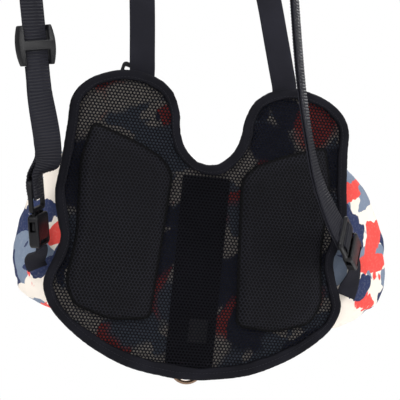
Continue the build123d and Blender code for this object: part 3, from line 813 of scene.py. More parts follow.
def mesh_tree():
    """Staggered rings of strand, kept only where they lie over the sheet that comes in."""
    tree = Tree("open air mesh")
    pitch, strand = tree.value("Pitch"), tree.value("Strand")
    columns, rows = tree.value("Columns", "NodeSocketInt"), tree.value("Rows", "NodeSocketInt")
    level = tree.value("Level")
    material = tree.value("Material", "NodeSocketMaterial")
    row_pitch = tree.node("ShaderNodeMath", {"operation": "MULTIPLY"}, i0=pitch, i1=sqrt(3) / 2)
    wide = tree.node("ShaderNodeMath", {"operation": "MULTIPLY"}, i0=pitch, i1=columns)
    high = tree.node("ShaderNodeMath", {"operation": "MULTIPLY"}, i0=row_pitch.outputs[0], i1=rows)
    grid = tree.node("GeometryNodeMeshGrid", None, Size_X=wide.outputs[0], Size_Y=high.outputs[0])
    for socket, count in ((grid.inputs["Vertices X"], columns), (grid.inputs["Vertices Y"], rows)):
        more = tree.node("ShaderNodeMath", {"operation": "ADD"}, i0=count, i1=1.0)
        tree.group.links.new(more.outputs[0], socket)
    points = tree.node("GeometryNodeMeshToPoints", None, Mesh=grid.outputs[0])
    where = tree.node("ShaderNodeSeparateXYZ", None, Vector=tree.node("GeometryNodeInputPosition").outputs[0])
    number = tree.node("ShaderNodeMath", {"operation": "DIVIDE"}, i0=where.outputs[1],
                       i1=row_pitch.outputs[0])
    whole = tree.node("ShaderNodeMath", {"operation": "ROUND"}, i0=number.outputs[0])
    odd = tree.node("ShaderNodeMath", {"operation": "FLOORED_MODULO"}, i0=whole.outputs[0], i1=2.0)
    shift = tree.node("ShaderNodeMath", {"operation": "MULTIPLY"}, i0=odd.outputs[0], i1=pitch)
    half = tree.node("ShaderNodeMath", {"operation": "MULTIPLY_ADD"}, i0=shift.outputs[0], i1=0.5,
                     i2=where.outputs[0])
    upright = tree.node("ShaderNodeCombineXYZ", None, X=half.outputs[0], Y=level, Z=where.outputs[1])
    stood = tree.node("GeometryNodeSetPosition", None, Geometry=points.outputs[0],
                      Position=upright.outputs[0])
    probe = tree.node("GeometryNodeRaycast", None, Target_Geometry=tree.inlet.outputs[0],
                      Ray_Direction=(0, 1, 0), Ray_Length=0.1)
    over = next(socket for socket in probe.outputs if socket.name == "Is Hit")
    missed = tree.node("FunctionNodeBooleanMath", {"operation": "NOT"}, i0=over)
    kept = tree.node("GeometryNodeDeleteGeometry", {"domain": "POINT"}, Geometry=stood.outputs[0],
                     Selection=missed.outputs[0])
    landed = tree.node("GeometryNodeSetPosition", None, Geometry=kept.outputs[0])
    reach = tree.node("ShaderNodeMath", {"operation": "DIVIDE"}, i0=pitch, i1=sqrt(3))
    cell = tree.node("GeometryNodeCurvePrimitiveCircle", None, Resolution=6, Radius=reach.outputs[0])
    wire = tree.node("GeometryNodeCurvePrimitiveCircle", None, Resolution=4, Radius=strand)
    loop = tree.node("GeometryNodeCurveToMesh", None, Curve=cell.outputs[0], Profile_Curve=wire.outputs[0])
    stand = tree.node("GeometryNodeTransform", None, Geometry=loop.outputs[0], Rotation=(pi / 2, pi / 6, 0),
                      Scale=(1, 1, 0.6))
    sown = tree.node("GeometryNodeInstanceOnPoints", None, Points=landed.outputs[0],
                     Instance=stand.outputs[0])
    return tree.close(sown.outputs[0], material)


def teeth_tree():
    """Interlocked coil: bars across the zip that lean to one side and the other in turn."""
    tree = Tree("zip coil")
    pitch, width = tree.value("Pitch"), tree.value("Width")
    height = tree.value("Height")
    material = tree.value("Material", "NodeSocketMaterial")
    curve = tree.node("GeometryNodeMeshToCurve", None, Mesh=tree.inlet.outputs[0])
    row = tree.node("GeometryNodeResampleCurve", {"mode": "LENGTH"}, Curve=curve.outputs[0], Length=pitch)
    odd = tree.node("ShaderNodeMath", {"operation": "FLOORED_MODULO"},
                    i0=tree.node("GeometryNodeInputIndex").outputs[0], i1=2.0)
    lean = tree.node("ShaderNodeMath", {"operation": "MULTIPLY_ADD"}, i0=odd.outputs[0], i1=0.0016,
                     i2=-0.0008)
    move = tree.node("ShaderNodeCombineXYZ", None, Z=lean.outputs[0])
    staggered = tree.node("GeometryNodeSetPosition", None, Geometry=row.outputs[0], Offset=move.outputs[0])
    bead = tree.node("GeometryNodeMeshUVSphere", None, Segments=8, Rings=6, Radius=0.5)
    thick = tree.node("ShaderNodeMath", {"operation": "MULTIPLY"}, i0=pitch, i1=0.95)
    size = tree.node("ShaderNodeCombineXYZ", None, X=thick.outputs[0], Y=height, Z=width)
    shape = tree.node("GeometryNodeTransform", None, Geometry=bead.outputs[0], Scale=size.outputs[0])
    sown = tree.node("GeometryNodeInstanceOnPoints", None, Points=staggered.outputs[0],
                     Instance=shape.outputs[0])
    return tree.close(sown.outputs[0], material)


GROUPS = {}


def sew(name, paths, body=ROOT, pitch=None, radius=None, slot_name="webbing"):
    """Rows of stitches along paths given in millimetres."""
    sizes = bpy.context.scene.vest_sizes
    made = path_object(name, [[Vector(p) * MM for p in path] for path in paths])
    grow(made, GROUPS["stitch"], Pitch=pitch or sizes.stitch_pitch, Radius=radius or sizes.stitch_radius,
         Material=MATERIAL["thread"])
    made.data.shade_smooth()
    return place_piece(made, body, slot_name)


# ---- webbing ----
def turn_to_across(turn, tilt=0.0):
    flat = cos(radians(tilt))
    return Vector((cos(radians(turn)) * flat, sin(radians(turn)) * flat, sin(radians(tilt))))


def stations(points):
    return [(Vector(p[:3]), turn_to_across(*p[3:])) for p in points]


def arch(side, first, last):
    centre, radius, heading = ARCH[side]
    made = []
    for angle, turn in ARCH_TURN[side]:
        if first >= angle >= last:
            out, up = radius * cos(radians(angle)), radius * sin(radians(angle))
            made.append((centre[0] + out * heading[0], centre[1] + out * heading[1], centre[2] + up, turn))
    return made


def buckle_axes(side):
    """Middle of a buckle, and its axes: across, up the strap, and towards the wearer."""
    middle, down, across = BUCKLE[side]
    up = -Vector(down).normalized()
    wide = Vector(across)
    wide = (wide - up * wide.dot(up)).normalized()
    return Vector(middle), wide, up, wide.cross(up)


def at_buckle(side, x, y, z):
    middle, wide, up, out = buckle_axes(side)
    return middle + wide * x + up * y + out * z


def webbing_frames(route, step):
    """Points along a webbing with their across and facing directions, no further apart than step."""
    places = [place for place, _ in route]
    widths = [across for _, across in route]
    path = smooth_points(places, step)
    counts = [max(2, ceil((b - a).length / step)) for a, b in zip(places, places[1:])]
    spread = []
    for n, runs in enumerate(counts):
        spread += [widths[n].lerp(widths[n + 1], k / runs) for k in range(runs)]
    spread.append(widths[-1])
    made = []
    for n, place in enumerate(path):
        run = (path[min(n + 1, len(path) - 1)] - path[max(n - 1, 0)]).normalized()
        across = (spread[n] - run * spread[n].dot(run)).normalized()
        made.append((place, across, run.cross(across)))
    return made


WEB_SECTION = ((-1, -0.55), (-1, 0.55), (-0.93, 1), (-0.5, 0.92), (0, 0.9), (0.5, 0.92), (0.93, 1),
               (1, 0.55), (1, -0.55), (0.93, -1), (0.5, -0.92), (0, -0.9), (-0.5, -0.92), (-0.93, -1))


def make_strap(name, frames, width=None, thickness=None, material="webbing", ribs=None):
    """A webbing along its frames, with selvedges, and with raised ribs where it is ribbed."""
    sizes = bpy.context.scene.vest_sizes
    half_width = (width or sizes.webbing_width) / 2
    half_thickness = (thickness or sizes.webbing_thickness) / 2
    if ribs:
        half_thickness *= 0.78
    verts, rows, travelled = [], [], 0.0
    for n, (place, across, facing) in enumerate(frames):
        if n:
            travelled += (place - frames[n - 1][0]).length * MM
        for a, b in WEB_SECTION:
            verts.append(place * MM + across * (a * half_width) + facing * (b * half_thickness))
            rows.append((a * half_width, travelled))
    around = len(WEB_SECTION)
    faces = ring_faces(len(frames), around)
    faces.append(tuple(range(around - 1, -1, -1)))
    last = (len(frames) - 1) * around
    faces.append(tuple(range(last, last + around)))
    made = make_object(name, verts, faces, material)
    uv = made.data.uv_layers.new(name="Run")
    for loop in made.data.loops:
        uv.data[loop.index].uv = rows[loop.vertex_index]
    face_outward(made)
    if not ribs:
        return made
    extra = rib_rows(name + "_ribs", frames, half_width, ribs)
    return join(made, extra)


def rib_rows(name, frames, half_width, spans):
    """Ribs at an even pitch along the frames, within the spans given as shares of the length."""
    sizes = bpy.context.scene.vest_sizes
    lengths = [0.0]
    for a, b in zip(frames, frames[1:]):
        lengths.append(lengths[-1] + (b[0] - a[0]).length)
    pitch = sizes.rib_pitch / MM
    places, across, facing = [], [], []
    at = pitch / 2
    n = 0
    while at < lengths[-1]:
        while lengths[n + 1] < at:
            n += 1
        share = (at - lengths[n]) / max(lengths[n + 1] - lengths[n], 1e-9)
        if any(low <= at / lengths[-1] <= high for low, high in spans):
            places.append(frames[n][0].lerp(frames[n + 1][0], share) * MM)
            across.append(frames[n][1].lerp(frames[n + 1][1], share))
            facing.append(frames[n][2].lerp(frames[n + 1][2], share))
        at += pitch
    made = path_object(name, [[p] for p in places])
    for key, values in (("across", across), ("facing", facing)):
        layer = made.data.attributes.new(key, "FLOAT_VECTOR", "POINT")
        layer.data.foreach_set("vector", [c for v in values for c in v])
    grow(made, GROUPS["rib"], Width=half_width * 1.92, Reach=sizes.rib_pitch * 0.34,
         Height=sizes.webbing_thickness * 0.56, Material=MATERIAL["rib"])
    made.data.shade_smooth()
    return made


def join(*objects):
    """Join meshes into the first, keeping each one's material."""
    for other in objects[1:]:
        if "Run" not in other.data.uv_layers:
            other.data.uv_layers.new(name="Run")
    with bpy.context.temp_override(active_object=objects[0], object=objects[0],
                                   selected_editable_objects=list(objects), selected_objects=list(objects)):
        bpy.ops.object.join()
    return objects[0]


def soften(name, node, body, slot_name, material, width=None, segments=2, angle=32):
    """A moulded part from its exact solid, with its edges rounded."""
    sizes = bpy.context.scene.vest_sizes
    made = bpy.data.objects.new(name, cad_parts[node].data.copy())
    bpy.context.scene.collection.objects.link(made)
    work = bmesh.new()
    work.from_mesh(made.data)
    bmesh.ops.remove_doubles(work, verts=work.verts, dist=2e-6)
    bmesh.ops.dissolve_limit(work, angle_limit=radians(1.0), verts=work.verts, edges=work.edges)
    bmesh.ops.recalc_face_normals(work, faces=work.faces)
    work.to_mesh(made.data)
    work.free()
    made.data.materials.clear()
    made.data.materials.append(MATERIAL[material])
    made.data.shade_smooth()
    bevel = made.modifiers.new("round", "BEVEL")
    bevel.width = width or sizes.edge_round
    bevel.segments = segments
    bevel.limit_method = "ANGLE"
    bevel.angle_limit = radians(angle)
    bevel.harden_normals = True
    settle(made)
    return place_piece(made, body, slot_name, node)


class PieceOperator(bpy.types.Operator):
    """Base of the operators that build pieces"""
    bl_options = {"REGISTER"}

    def execute(self, context):
        self.build(context)
        return {"FINISHED"}


class VEST_OT_stage(PieceOperator):
    """Build the floor, backdrop, lights and camera"""
    bl_idname = "vest.stage"
    bl_label = "Stage"

    def build(self, context):
        scene = context.scene
        scene.view_settings.view_transform = "Standard"
        world = bpy.data.worlds.new("white room")
        scene.world = world
        world.use_nodes = True
        nodes, links = world.node_tree.nodes, world.node_tree.links
        ground = nodes["Background"]
        ground.inputs["Color"].default_value = (1, 1, 1, 1)
        path = nodes.new("ShaderNodeLightPath")
        seen = nodes.new("ShaderNodeMath")
        seen.operation = "MAXIMUM"
        links.new(path.outputs["Is Camera Ray"], seen.inputs[0])
        links.new(path.outputs["Is Transmission Ray"], seen.inputs[1])
        strength = nodes.new("ShaderNodeMapRange")
        strength.inputs["To Min"].default_value = 0.42
        strength.inputs["To Max"].default_value = 1.0
        links.new(seen.outputs[0], strength.inputs["Value"])
        links.new(strength.outputs[0], ground.inputs["Strength"])
        self.floor()
        self.lamp("key lamp", (-0.75, -1.25, 0.95), 0.8, 17.0)
        self.lamp("side lamp", (1.15, -0.75, 0.45), 0.7, 9.0)
        self.lamp("top lamp", (0.1, 0.1, 1.35), 0.9, 9.0)
        self.lamp("back lamp", (0.5, 1.2, 0.7), 0.9, 14.0)
        self.camera(scene)

    def floor(self):
        paint = Paint("pale floor")
        paint.finish((0.9, 0.9, 0.9, 1), 0.9)
        path = paint.node("ShaderNodeLightPath")
        glow = paint.node("ShaderNodeEmission", None, Color=(1, 1, 1, 1), Strength=1.0)
        blend = paint.node("ShaderNodeMixShader")
        paint.tree.links.new(path.outputs["Is Camera Ray"], blend.inputs[0])
        paint.tree.links.new(paint.shader.outputs[0], blend.inputs[1])
        paint.tree.links.new(glow.outputs[0], blend.inputs[2])
        out = paint.tree.nodes["Material Output"]
        paint.tree.links.new(blend.outputs[0], out.inputs["Surface"])
        MATERIAL["floor"] = paint.material
        low = cad_box[0][2] - 0.12
        reach = 4.0
        verts = [(-reach, -reach, low), (reach, -reach, low), (reach, reach, low), (-reach, reach, low)]
        make_object("floor", verts, [(0, 1, 2, 3)], "floor", False)

    def lamp(self, name, place, size, power):
        light = bpy.data.lights.new(name, "AREA")
        light.shape = "DISK"
        light.size = size
        light.energy = power
        made = bpy.data.objects.new(name, light)
        bpy.context.scene.collection.objects.link(made)
        made.location = place
        made.rotation_euler = (Vector((0, 0, 0.04)) - Vector(place)).to_track_quat("-Z", "Y").to_euler()

    def camera(self, scene):
        lens = bpy.data.cameras.new("camera")
        made = bpy.data.objects.new("camera", lens)
        scene.collection.objects.link(made)
        yaw, pitch, roll, away = radians(8.82), radians(0.77), radians(5.54), 1.0
        ahead = Vector((sin(yaw) * cos(pitch), cos(yaw) * cos(pitch), -sin(pitch)))
        right = Vector((cos(yaw), -sin(yaw), 0))
        up = right.cross(ahead)
        side = right * cos(roll) + up * sin(roll)
        top = up * cos(roll) - right * sin(roll)
        turn = Matrix((side, top, -ahead)).transposed().to_4x4()
        made.matrix_world = Matrix.Translation(Vector((0, 0.008, 0)) - ahead * away) @ turn
        lens.sensor_width = 36.0
        lens.lens = 90.56
        lens.shift_x = -0.004
        lens.shift_y = 0.087
        lens.clip_start = 0.05
        lens.clip_end = 30.0
        scene.camera = made


class VEST_OT_materials(PieceOperator):
    """Mix every finish and build the shared node trees"""
    bl_idname = "vest.materials"
    bl_label = "Materials"

    def build(self, context):
        stock_materials()
        GROUPS["stitch"] = stitch_tree()
        GROUPS["rib"] = rib_tree()
        GROUPS["mesh"] = mesh_tree()
        GROUPS["teeth"] = teeth_tree()


class VEST_OT_panel(PieceOperator):
    """Build the open mesh liner, the printed shell and the strip between them"""
    bl_idname = "vest.panel"
    bl_label = "Panel"

    def build(self, context):
        sizes = context.scene.vest_sizes
        holes = [[p * 1.0 for p in self.drawn_in(pad_outline(side, 4.0), 2.5)] for side in SIDES]
        x, z, faces = fill_outline(panel_outline(8.0, 4.0), holes, 9.0)
        sheet = make_object("mesh_liner", [(a * MM, 9.3 * MM, b * MM) for a, b in zip(x, z)], faces,
                            "air mesh")
        pitch = sizes.mesh_pitch
        grow(sheet, GROUPS["mesh"], Pitch=pitch, Strand=sizes.mesh_strand, Level=0.0091,
             Columns=ceil(0.31 / pitch / 2) * 2, Rows=ceil(0.36 / pitch / 2) * 2,
             Material=MATERIAL["air mesh"])
        sheet.name = "air_mesh_liner"
        sheet.data.shade_smooth()
        place_piece(sheet, ROOT, "air_mesh", "mesh_liner")
        self.shell()
        soften("backing_strip", "spine_strip", ROOT, "binding_tape", "strip", 0.0004)
        soften("satin_label", "blank_label", ROOT, "label_cloth", "label", 0.0001, 1)
        hem = ((-3, -84.8), (15, -84.8), (15, -107.2), (-3, -107.2), (-3, -84.8))
        sew("label_stitches", [[(a + 0.0, 10.42, b) for a, b in hem]], pitch=0.0022, radius=0.00022,
            slot_name="label_cloth")

    def drawn_in(self, loop, inset):
        made = []
        for n, place in enumerate(loop):
            run = (loop[(n + 1) % len(loop)] - loop[n - 1]).normalized()
            made.append(Vector((place.x + run.y * inset, place.y - run.x * inset, 0)))
        if sum(a.x * b.y - b.x * a.y for a, b in zip(loop, loop[1:] + loop[:1])) > 0:
            made = [2 * a - b for a, b in zip(loop, made)]
        return made

    def shell(self):
        outer = panel_outline(7.0, 3.0)
        x, z, faces = fill_outline(outer, (), 4.0)
        deep = edge_distance(outer, x, z)
        spine = np.abs(x)
        rise = 1.0 - np.exp(-deep / 9.0)
        rise *= 1.0 - np.exp(-np.clip(spine - 17.0, 0, None) / 10.0)
        soft = [noise.noise(Vector((a * 0.025, 3.1, b * 0.025))) for a, b in zip(x, z)]
        crease = [noise.noise(Vector((a * 0.09, 7.7, b * 0.05))) for a, b in zip(x, z)]
        swell = rise * (1.9 + 1.2 * np.array(soft) + 0.5 * np.array(crease))
        made = cushion("outer_panel", x, z, faces, 12.7 + 0 * swell, 14.3 + swell, "print")
        # Faces towards the liner take the darkened print, which is painted shade behind the mesh.
        made.data.materials.append(MATERIAL["print inside"])
        for face in made.data.polygons:
            face.material_index = 1 if face.normal.y < -0.5 else 0
        place_piece(made, ROOT, "print_fabric", "outer_shell")


class VEST_OT_binding(PieceOperator):
    """Build the tape folded round the panel's edge, with its puckers and stitches"""
    bl_idname = "vest.binding"
    bl_label = "Edge binding"

    def build(self, context):
        loop = panel_outline(0.0, 2.0)
        section = self.section()
        verts = []
        for n, place in enumerate(loop):
            run = (loop[(n + 1) % len(loop)] - loop[n - 1]).normalized()
            inward = Vector((run.y, -run.x, 0))
            low = max(0.0, min(1.0, (-90.0 - place.y) / 45.0))
            width = 9.6 + 3.4 * low
            wave = noise.noise(Vector((place.x * 0.06, place.y * 0.06, 0)))
            width += 1.5 * noise.noise(Vector((place.x * 0.045, place.y * 0.045, 9)))
            fine = noise.noise(Vector((place.x * 0.33, place.y * 0.33, 4)))
            notch = max(0.0, 1 - abs(abs(place.x) - 42) / 22) * max(0.0, min(1.0, (place.y - 72) / 16))
            fine += 1.9 * notch * noise.noise(Vector((place.x * 0.19, place.y * 0.19, 11)))
            for depth, y in section:
                puff = 0.55 * wave + 0.5 * fine * (1 - abs(depth - 0.5))
                at = place + inward * (0.6 + depth * width + 0.35 * fine)
                middle = 11.4
                level = middle + (y - middle) * (1 + 0.05 * puff) - (0.35 * puff if y < middle else -0.35 * puff)
                verts.append(Vector((at.x, level, at.y)) * MM)
        around = len(section)
        faces = ring_faces(len(loop), around)
        last = (len(loop) - 1) * around
        for a in range(around):
            b = (a + 1) % around
            faces.append((last + a, last + b, b, a))
        made = face_outward(make_object("binding", verts, faces, "tape"))
        place_piece(made, ROOT, "binding_tape", "edge_binding")
        rows = []
        for y, inset in ((6.45, 8.0), (16.45, 8.0)):
            line = panel_outline(inset, 3.0)
            rows.append([(p.x, y, p.y) for p in line + line[:1]])
        sew("binding_stitches", rows, pitch=0.0034, slot_name="binding_tape")

    def section(self):
        """Across the tape: how far in from the edge, as a share, and how far out, for one fold."""
        front = [(1.0, 8.4), (0.97, 7.1), (0.86, 6.7), (0.7, 6.75), (0.5, 6.6), (0.3, 6.75), (0.14, 7.4),
                 (0.04, 8.8), (0.0, 10.6)]
        back = [(depth, 22.8 - y) for depth, y in reversed(front)]
        return front + back


class VEST_OT_pads(PieceOperator):
    """Build the two crowned pads with their sewn edges"""
    bl_idname = "vest.pads"
    bl_label = "Back pads"

    def build(self, context):
        crown = context.scene.vest_sizes.pad_crown / MM
        for side in SIDES:
            loop = pad_outline(side, 2.4)
            x, z, faces = fill_outline(loop, (), 3.0)
            deep = edge_distance(loop, x, z)
            lift = np.interp(deep, (0, 0.5, 1.4, 2.8, 4.0, 5.5, 8, 12, 17, 24, 32),
                             (0.2, 1.2, 1.7, 1.5, 2.4, 4.2, 5.8, 6.6, 6.4, 7.0, 7.7))
            soft = np.array([noise.noise(Vector((a * 0.03, 1.3, b * 0.022))) for a, b in zip(x, z)])
            fine = np.array([noise.noise(Vector((a * 0.11, 5.3, b * 0.08))) for a, b in zip(x, z)])
            inner = np.clip(deep / 12.0, 0, 1)
            lift = lift + inner * (crown * np.clip(deep / 40.0, 0, 1) + 0.7 * soft + 0.25 * fine)
            made = cushion(f"{side}_back_pad", x, z, faces, 8.2 - lift, 8.2 + 0 * lift, "pad mesh")
            self.mark_edge(made, loop)
            place_piece(made, ROOT, "pad_mesh", f"{side}_pad")
            sewn = [(p.x, 6.2, p.y) for p in self.shrink(loop, 3.4)]
            sew(f"{side}_pad_stitches", [sewn + sewn[:1]], pitch=0.003, radius=0.00028, slot_name="pad_mesh")

    def mark_edge(self, made, loop):
        """Keep each corner's distance from the pad's edge in a UV map, for the painted shade in the groove and
        the painted highlight on the rim.
        """
        x = np.array([v.co.x / MM for v in made.data.vertices])
        z = np.array([v.co.z / MM for v in made.data.vertices])
        deep = edge_distance(loop, x, z) * MM
        uv = made.data.uv_layers.new(name="Edge")
        for corner in made.data.loops:
            uv.data[corner.index].uv = (deep[corner.vertex_index], 0.0)

    def shrink(self, loop, inset):
        turn = 1 if sum(a.x * b.y - b.x * a.y for a, b in zip(loop, loop[1:] + loop[:1])) < 0 else -1
        made = []
        for n, place in enumerate(loop):
            run = (loop[(n + 1) % len(loop)] - loop[n - 1]).normalized()
            made.append(Vector((place.x + turn * run.y * inset, place.y - turn * run.x * inset, 0)))
        return made


class VEST_OT_pouches(PieceOperator):
    """Build the stuffed side pouches as lofted, sagging shells with seams"""
    bl_idname = "vest.pouches"
    bl_label = "Side pouches"

    def build(self, context):
        for side in SIDES:
            self.pouch(side, context.scene.vest_sizes.pouch_sag / MM)

    def outline(self, side, reach, height):
        points = [(SIGN[side] * (POUCH_INNER + (x - POUCH_INNER) * reach), z * height, 0)
                  for x, z in POUCH_OUTLINE[side]]
        return points

    def rings(self, side):
        """Points round the pouch at each depth, all with the same count and the same start."""
        sections = []
        for reach, height in ((POUCH_BASE[side], 0.94), (1.0, 1.0), (CAP_SCALE, CAP_SCALE)):
            loop = round_corners(self.outline(side, reach, height), 16.0 * reach, 2.0)
            sections.append(self.even(loop, 190))
        return sections

    def even(self, loop, count):
        closed = loop + loop[:1]
        lengths = np.cumsum([0.0] + [(b - a).length for a, b in zip(closed, closed[1:])])
        at = np.linspace(0, lengths[-1], count, endpoint=False)
        x = np.interp(at, lengths, [p.x for p in closed])
        z = np.interp(at, lengths, [p.y for p in closed])
        return np.stack([x, z], 1)

    def pouch(self, side, sag):
        base, wide, cap = self.rings(side)
        count = len(base)
        centre = cap.mean(0)
        levels = np.concatenate([np.linspace(0, 0.93, 25), [0.955, 0.975, 0.99, 1.0]])
        verts, tags = [], []
        for share in levels:
            ring = base * (1 - share) ** 2 + (wide * 2 - (base + cap) / 2) * 2 * share * (1 - share)
            ring = ring + cap * share ** 2
            edge = max(0.0, (share - 0.9) / 0.1)
            ring = centre + (ring - centre) * (1 - 0.035 * edge ** 2)
            y = POUCH_Y[0] + (POUCH_Y[2] - POUCH_Y[0]) * share - 1.2 * edge ** 3
            verts += [(p[0], y, p[1]) for p in ring]
            tags += [(n / count, share, 0.0) for n in range(count)]
        for pull in (0.97, 0.93, 0.87, 0.79, 0.69, 0.57, 0.43, 0.28, 0.14):
            ring = centre + (cap - centre) * 0.965 * pull
            y = POUCH_Y[2] - 1.2 + 1.1 * (1 - pull ** 2)
            verts += [(p[0], y, p[1]) for p in ring]
            tags += [(n / count, 1.0, 1 - pull) for n in range(count)]
        rows = len(verts) // count
        faces = ring_faces(rows, count)
        verts.append((centre[0], POUCH_Y[2] - 0.1, centre[1]))
        tags.append((0, 1, 1))
        tip = len(verts) - 1
        faces += [((rows - 1) * count + n, (rows - 1) * count + (n + 1) % count, tip) for n in range(count)]
        verts.append((base[:, 0].mean(), POUCH_Y[0], base[:, 1].mean()))
        tags.append((0, 0, 0))
        faces += [((n + 1) % count, n, tip + 1) for n in range(count)]
        placed = [self.drape(side, Vector(v), tag, sag) * MM for v, tag in zip(verts, tags)]
        made = face_outward(make_object(f"{side}_bag", placed, faces, "print"))
        place_piece(made, ROOT, "print_fabric", f"{side}_pouch")
        self.piping(side, placed, count)

    def drape(self, side, place, tag, sag):
        """Hang the cloth: folds that fan out of the sewn base, a slack belly and pulled-in seams."""
        _, share, cap = tag
        centre = Vector((SIGN[side] * 125.0, place.y, 0.0))
        out = (place - centre)
        out.y = 0
        reach = out.length
        out = out.normalized() if reach > 1 else Vector((0, 0, 0))
        belly = 4 * share * (1 - share) * (1 - cap)
        fold = noise.noise(Vector((place.x * 0.045, place.y * 0.018, place.z * 0.045)))
        ripple = noise.noise(Vector((place.x * 0.13, place.y * 0.05 + 9, place.z * 0.1)))
        seam = -1.3 * np.exp(-((place.z + 64.0 - 0.05 * place.y) / 1.8) ** 2) * (1 if abs(place.x) > 118 else 0)
        seam -= 1.0 * np.exp(-((share - 0.985) / 0.012) ** 2) * (1 - cap)
        push = belly * (2.0 * fold + 1.0 * ripple) + seam * (1 if cap < 0.02 else 0)
        drop = -sag * belly * max(0.0, (60.0 - place.z) / 150.0)
        moved = place + out * push + Vector((0, 0, drop))
        if cap > 0.02:
            moved.y += 0.5 * fold + 0.25 * ripple
        moved.y = min(moved.y, POUCH_Y[2] + 0.02)
        return moved

    def piping(self, side, placed, count):
        """A corded edge round the outer face of the pouch, and the stitches of its seams."""
        row = [placed[27 * count + n] / MM for n in range(count)]
        middle = sum(row, Vector((0, 0, 0))) / count
        path = []
        for place in row:
            out = place - middle
            out.y = 0
            path.append(place + out.normalized() * 0.9 + Vector((0, -0.4, 0)))
        verts = []
        sides = 8
        for n, place in enumerate(path):
            run = (path[(n + 1) % count] - path[n - 1]).normalized()
            out = run.cross(Vector((0, 1, 0))).normalized()
            for k in range(sides):
                angle = 2 * pi * k / sides
                verts.append((place + out * (1.25 * cos(angle)) + Vector((0, 1.25 * sin(angle), 0))) * MM)
        faces = ring_faces(count, sides)
        last = (count - 1) * sides
        faces += [(last + k, last + (k + 1) % sides, (k + 1) % sides, k) for k in range(sides)]
        cord = face_outward(make_object(f"{side}_piping", verts, faces, "tape"))
        place_piece(cord, ROOT, "binding_tape")
        line = [p + (p - middle).normalized() * 0.5 + Vector((0, -4.2, 0)) for p in path]
        sew(f"{side}_bag_stitches", [line + line[:1]], pitch=0.003, radius=0.00028, slot_name="print_fabric")


class VEST_OT_zips(PieceOperator):
    """Build the zips with their coil teeth, sliders and pulls"""
    bl_idname = "vest.zips"
    bl_label = "Pouch zips"

    def build(self, context):
        sizes = context.scene.vest_sizes
        for side in SIDES:
            soften(f"{side}_zip_cloth", f"{side}_zip_tape", ROOT, "zip_nylon", "zip tape", 0.0003)
            half, middle = ZIP_LENGTH[side] / 2, SIGN[side] * ZIP_MIDDLE[side]
            line = [(middle - half, 81.6, ZIP_Z), (middle + half, 81.6, ZIP_Z)]
            coil = path_object(f"{side}_zip_coil", [[Vector(p) * MM for p in line]])
            grow(coil, GROUPS["teeth"], Pitch=sizes.tooth_pitch, Width=0.0048, Height=0.0015,
                 Material=MATERIAL["coil"])
            coil.data.shade_smooth()
            place_piece(coil, ROOT, "zip_nylon", f"{side}_zip_teeth")
            soften(f"{side}_zip_runner", f"{side}_zip_slider", f"{side}_zip_slider", "zip_metal", "zip metal",
                   0.0004)
            soften(f"{side}_zip_tag", f"{side}_zip_pull", f"{side}_zip_pull", "zip_metal", "zip metal",
                   0.0003)
            rows = [[(middle - half - 2, 80.95, ZIP_Z + k), (middle + half + 2, 80.95, ZIP_Z + k)]
                    for k in (-10, -6.5, 6.5, 10)]
            sew(f"{side}_zip_stitches", rows, pitch=0.0026, radius=0.00025, slot_name="zip_nylon")


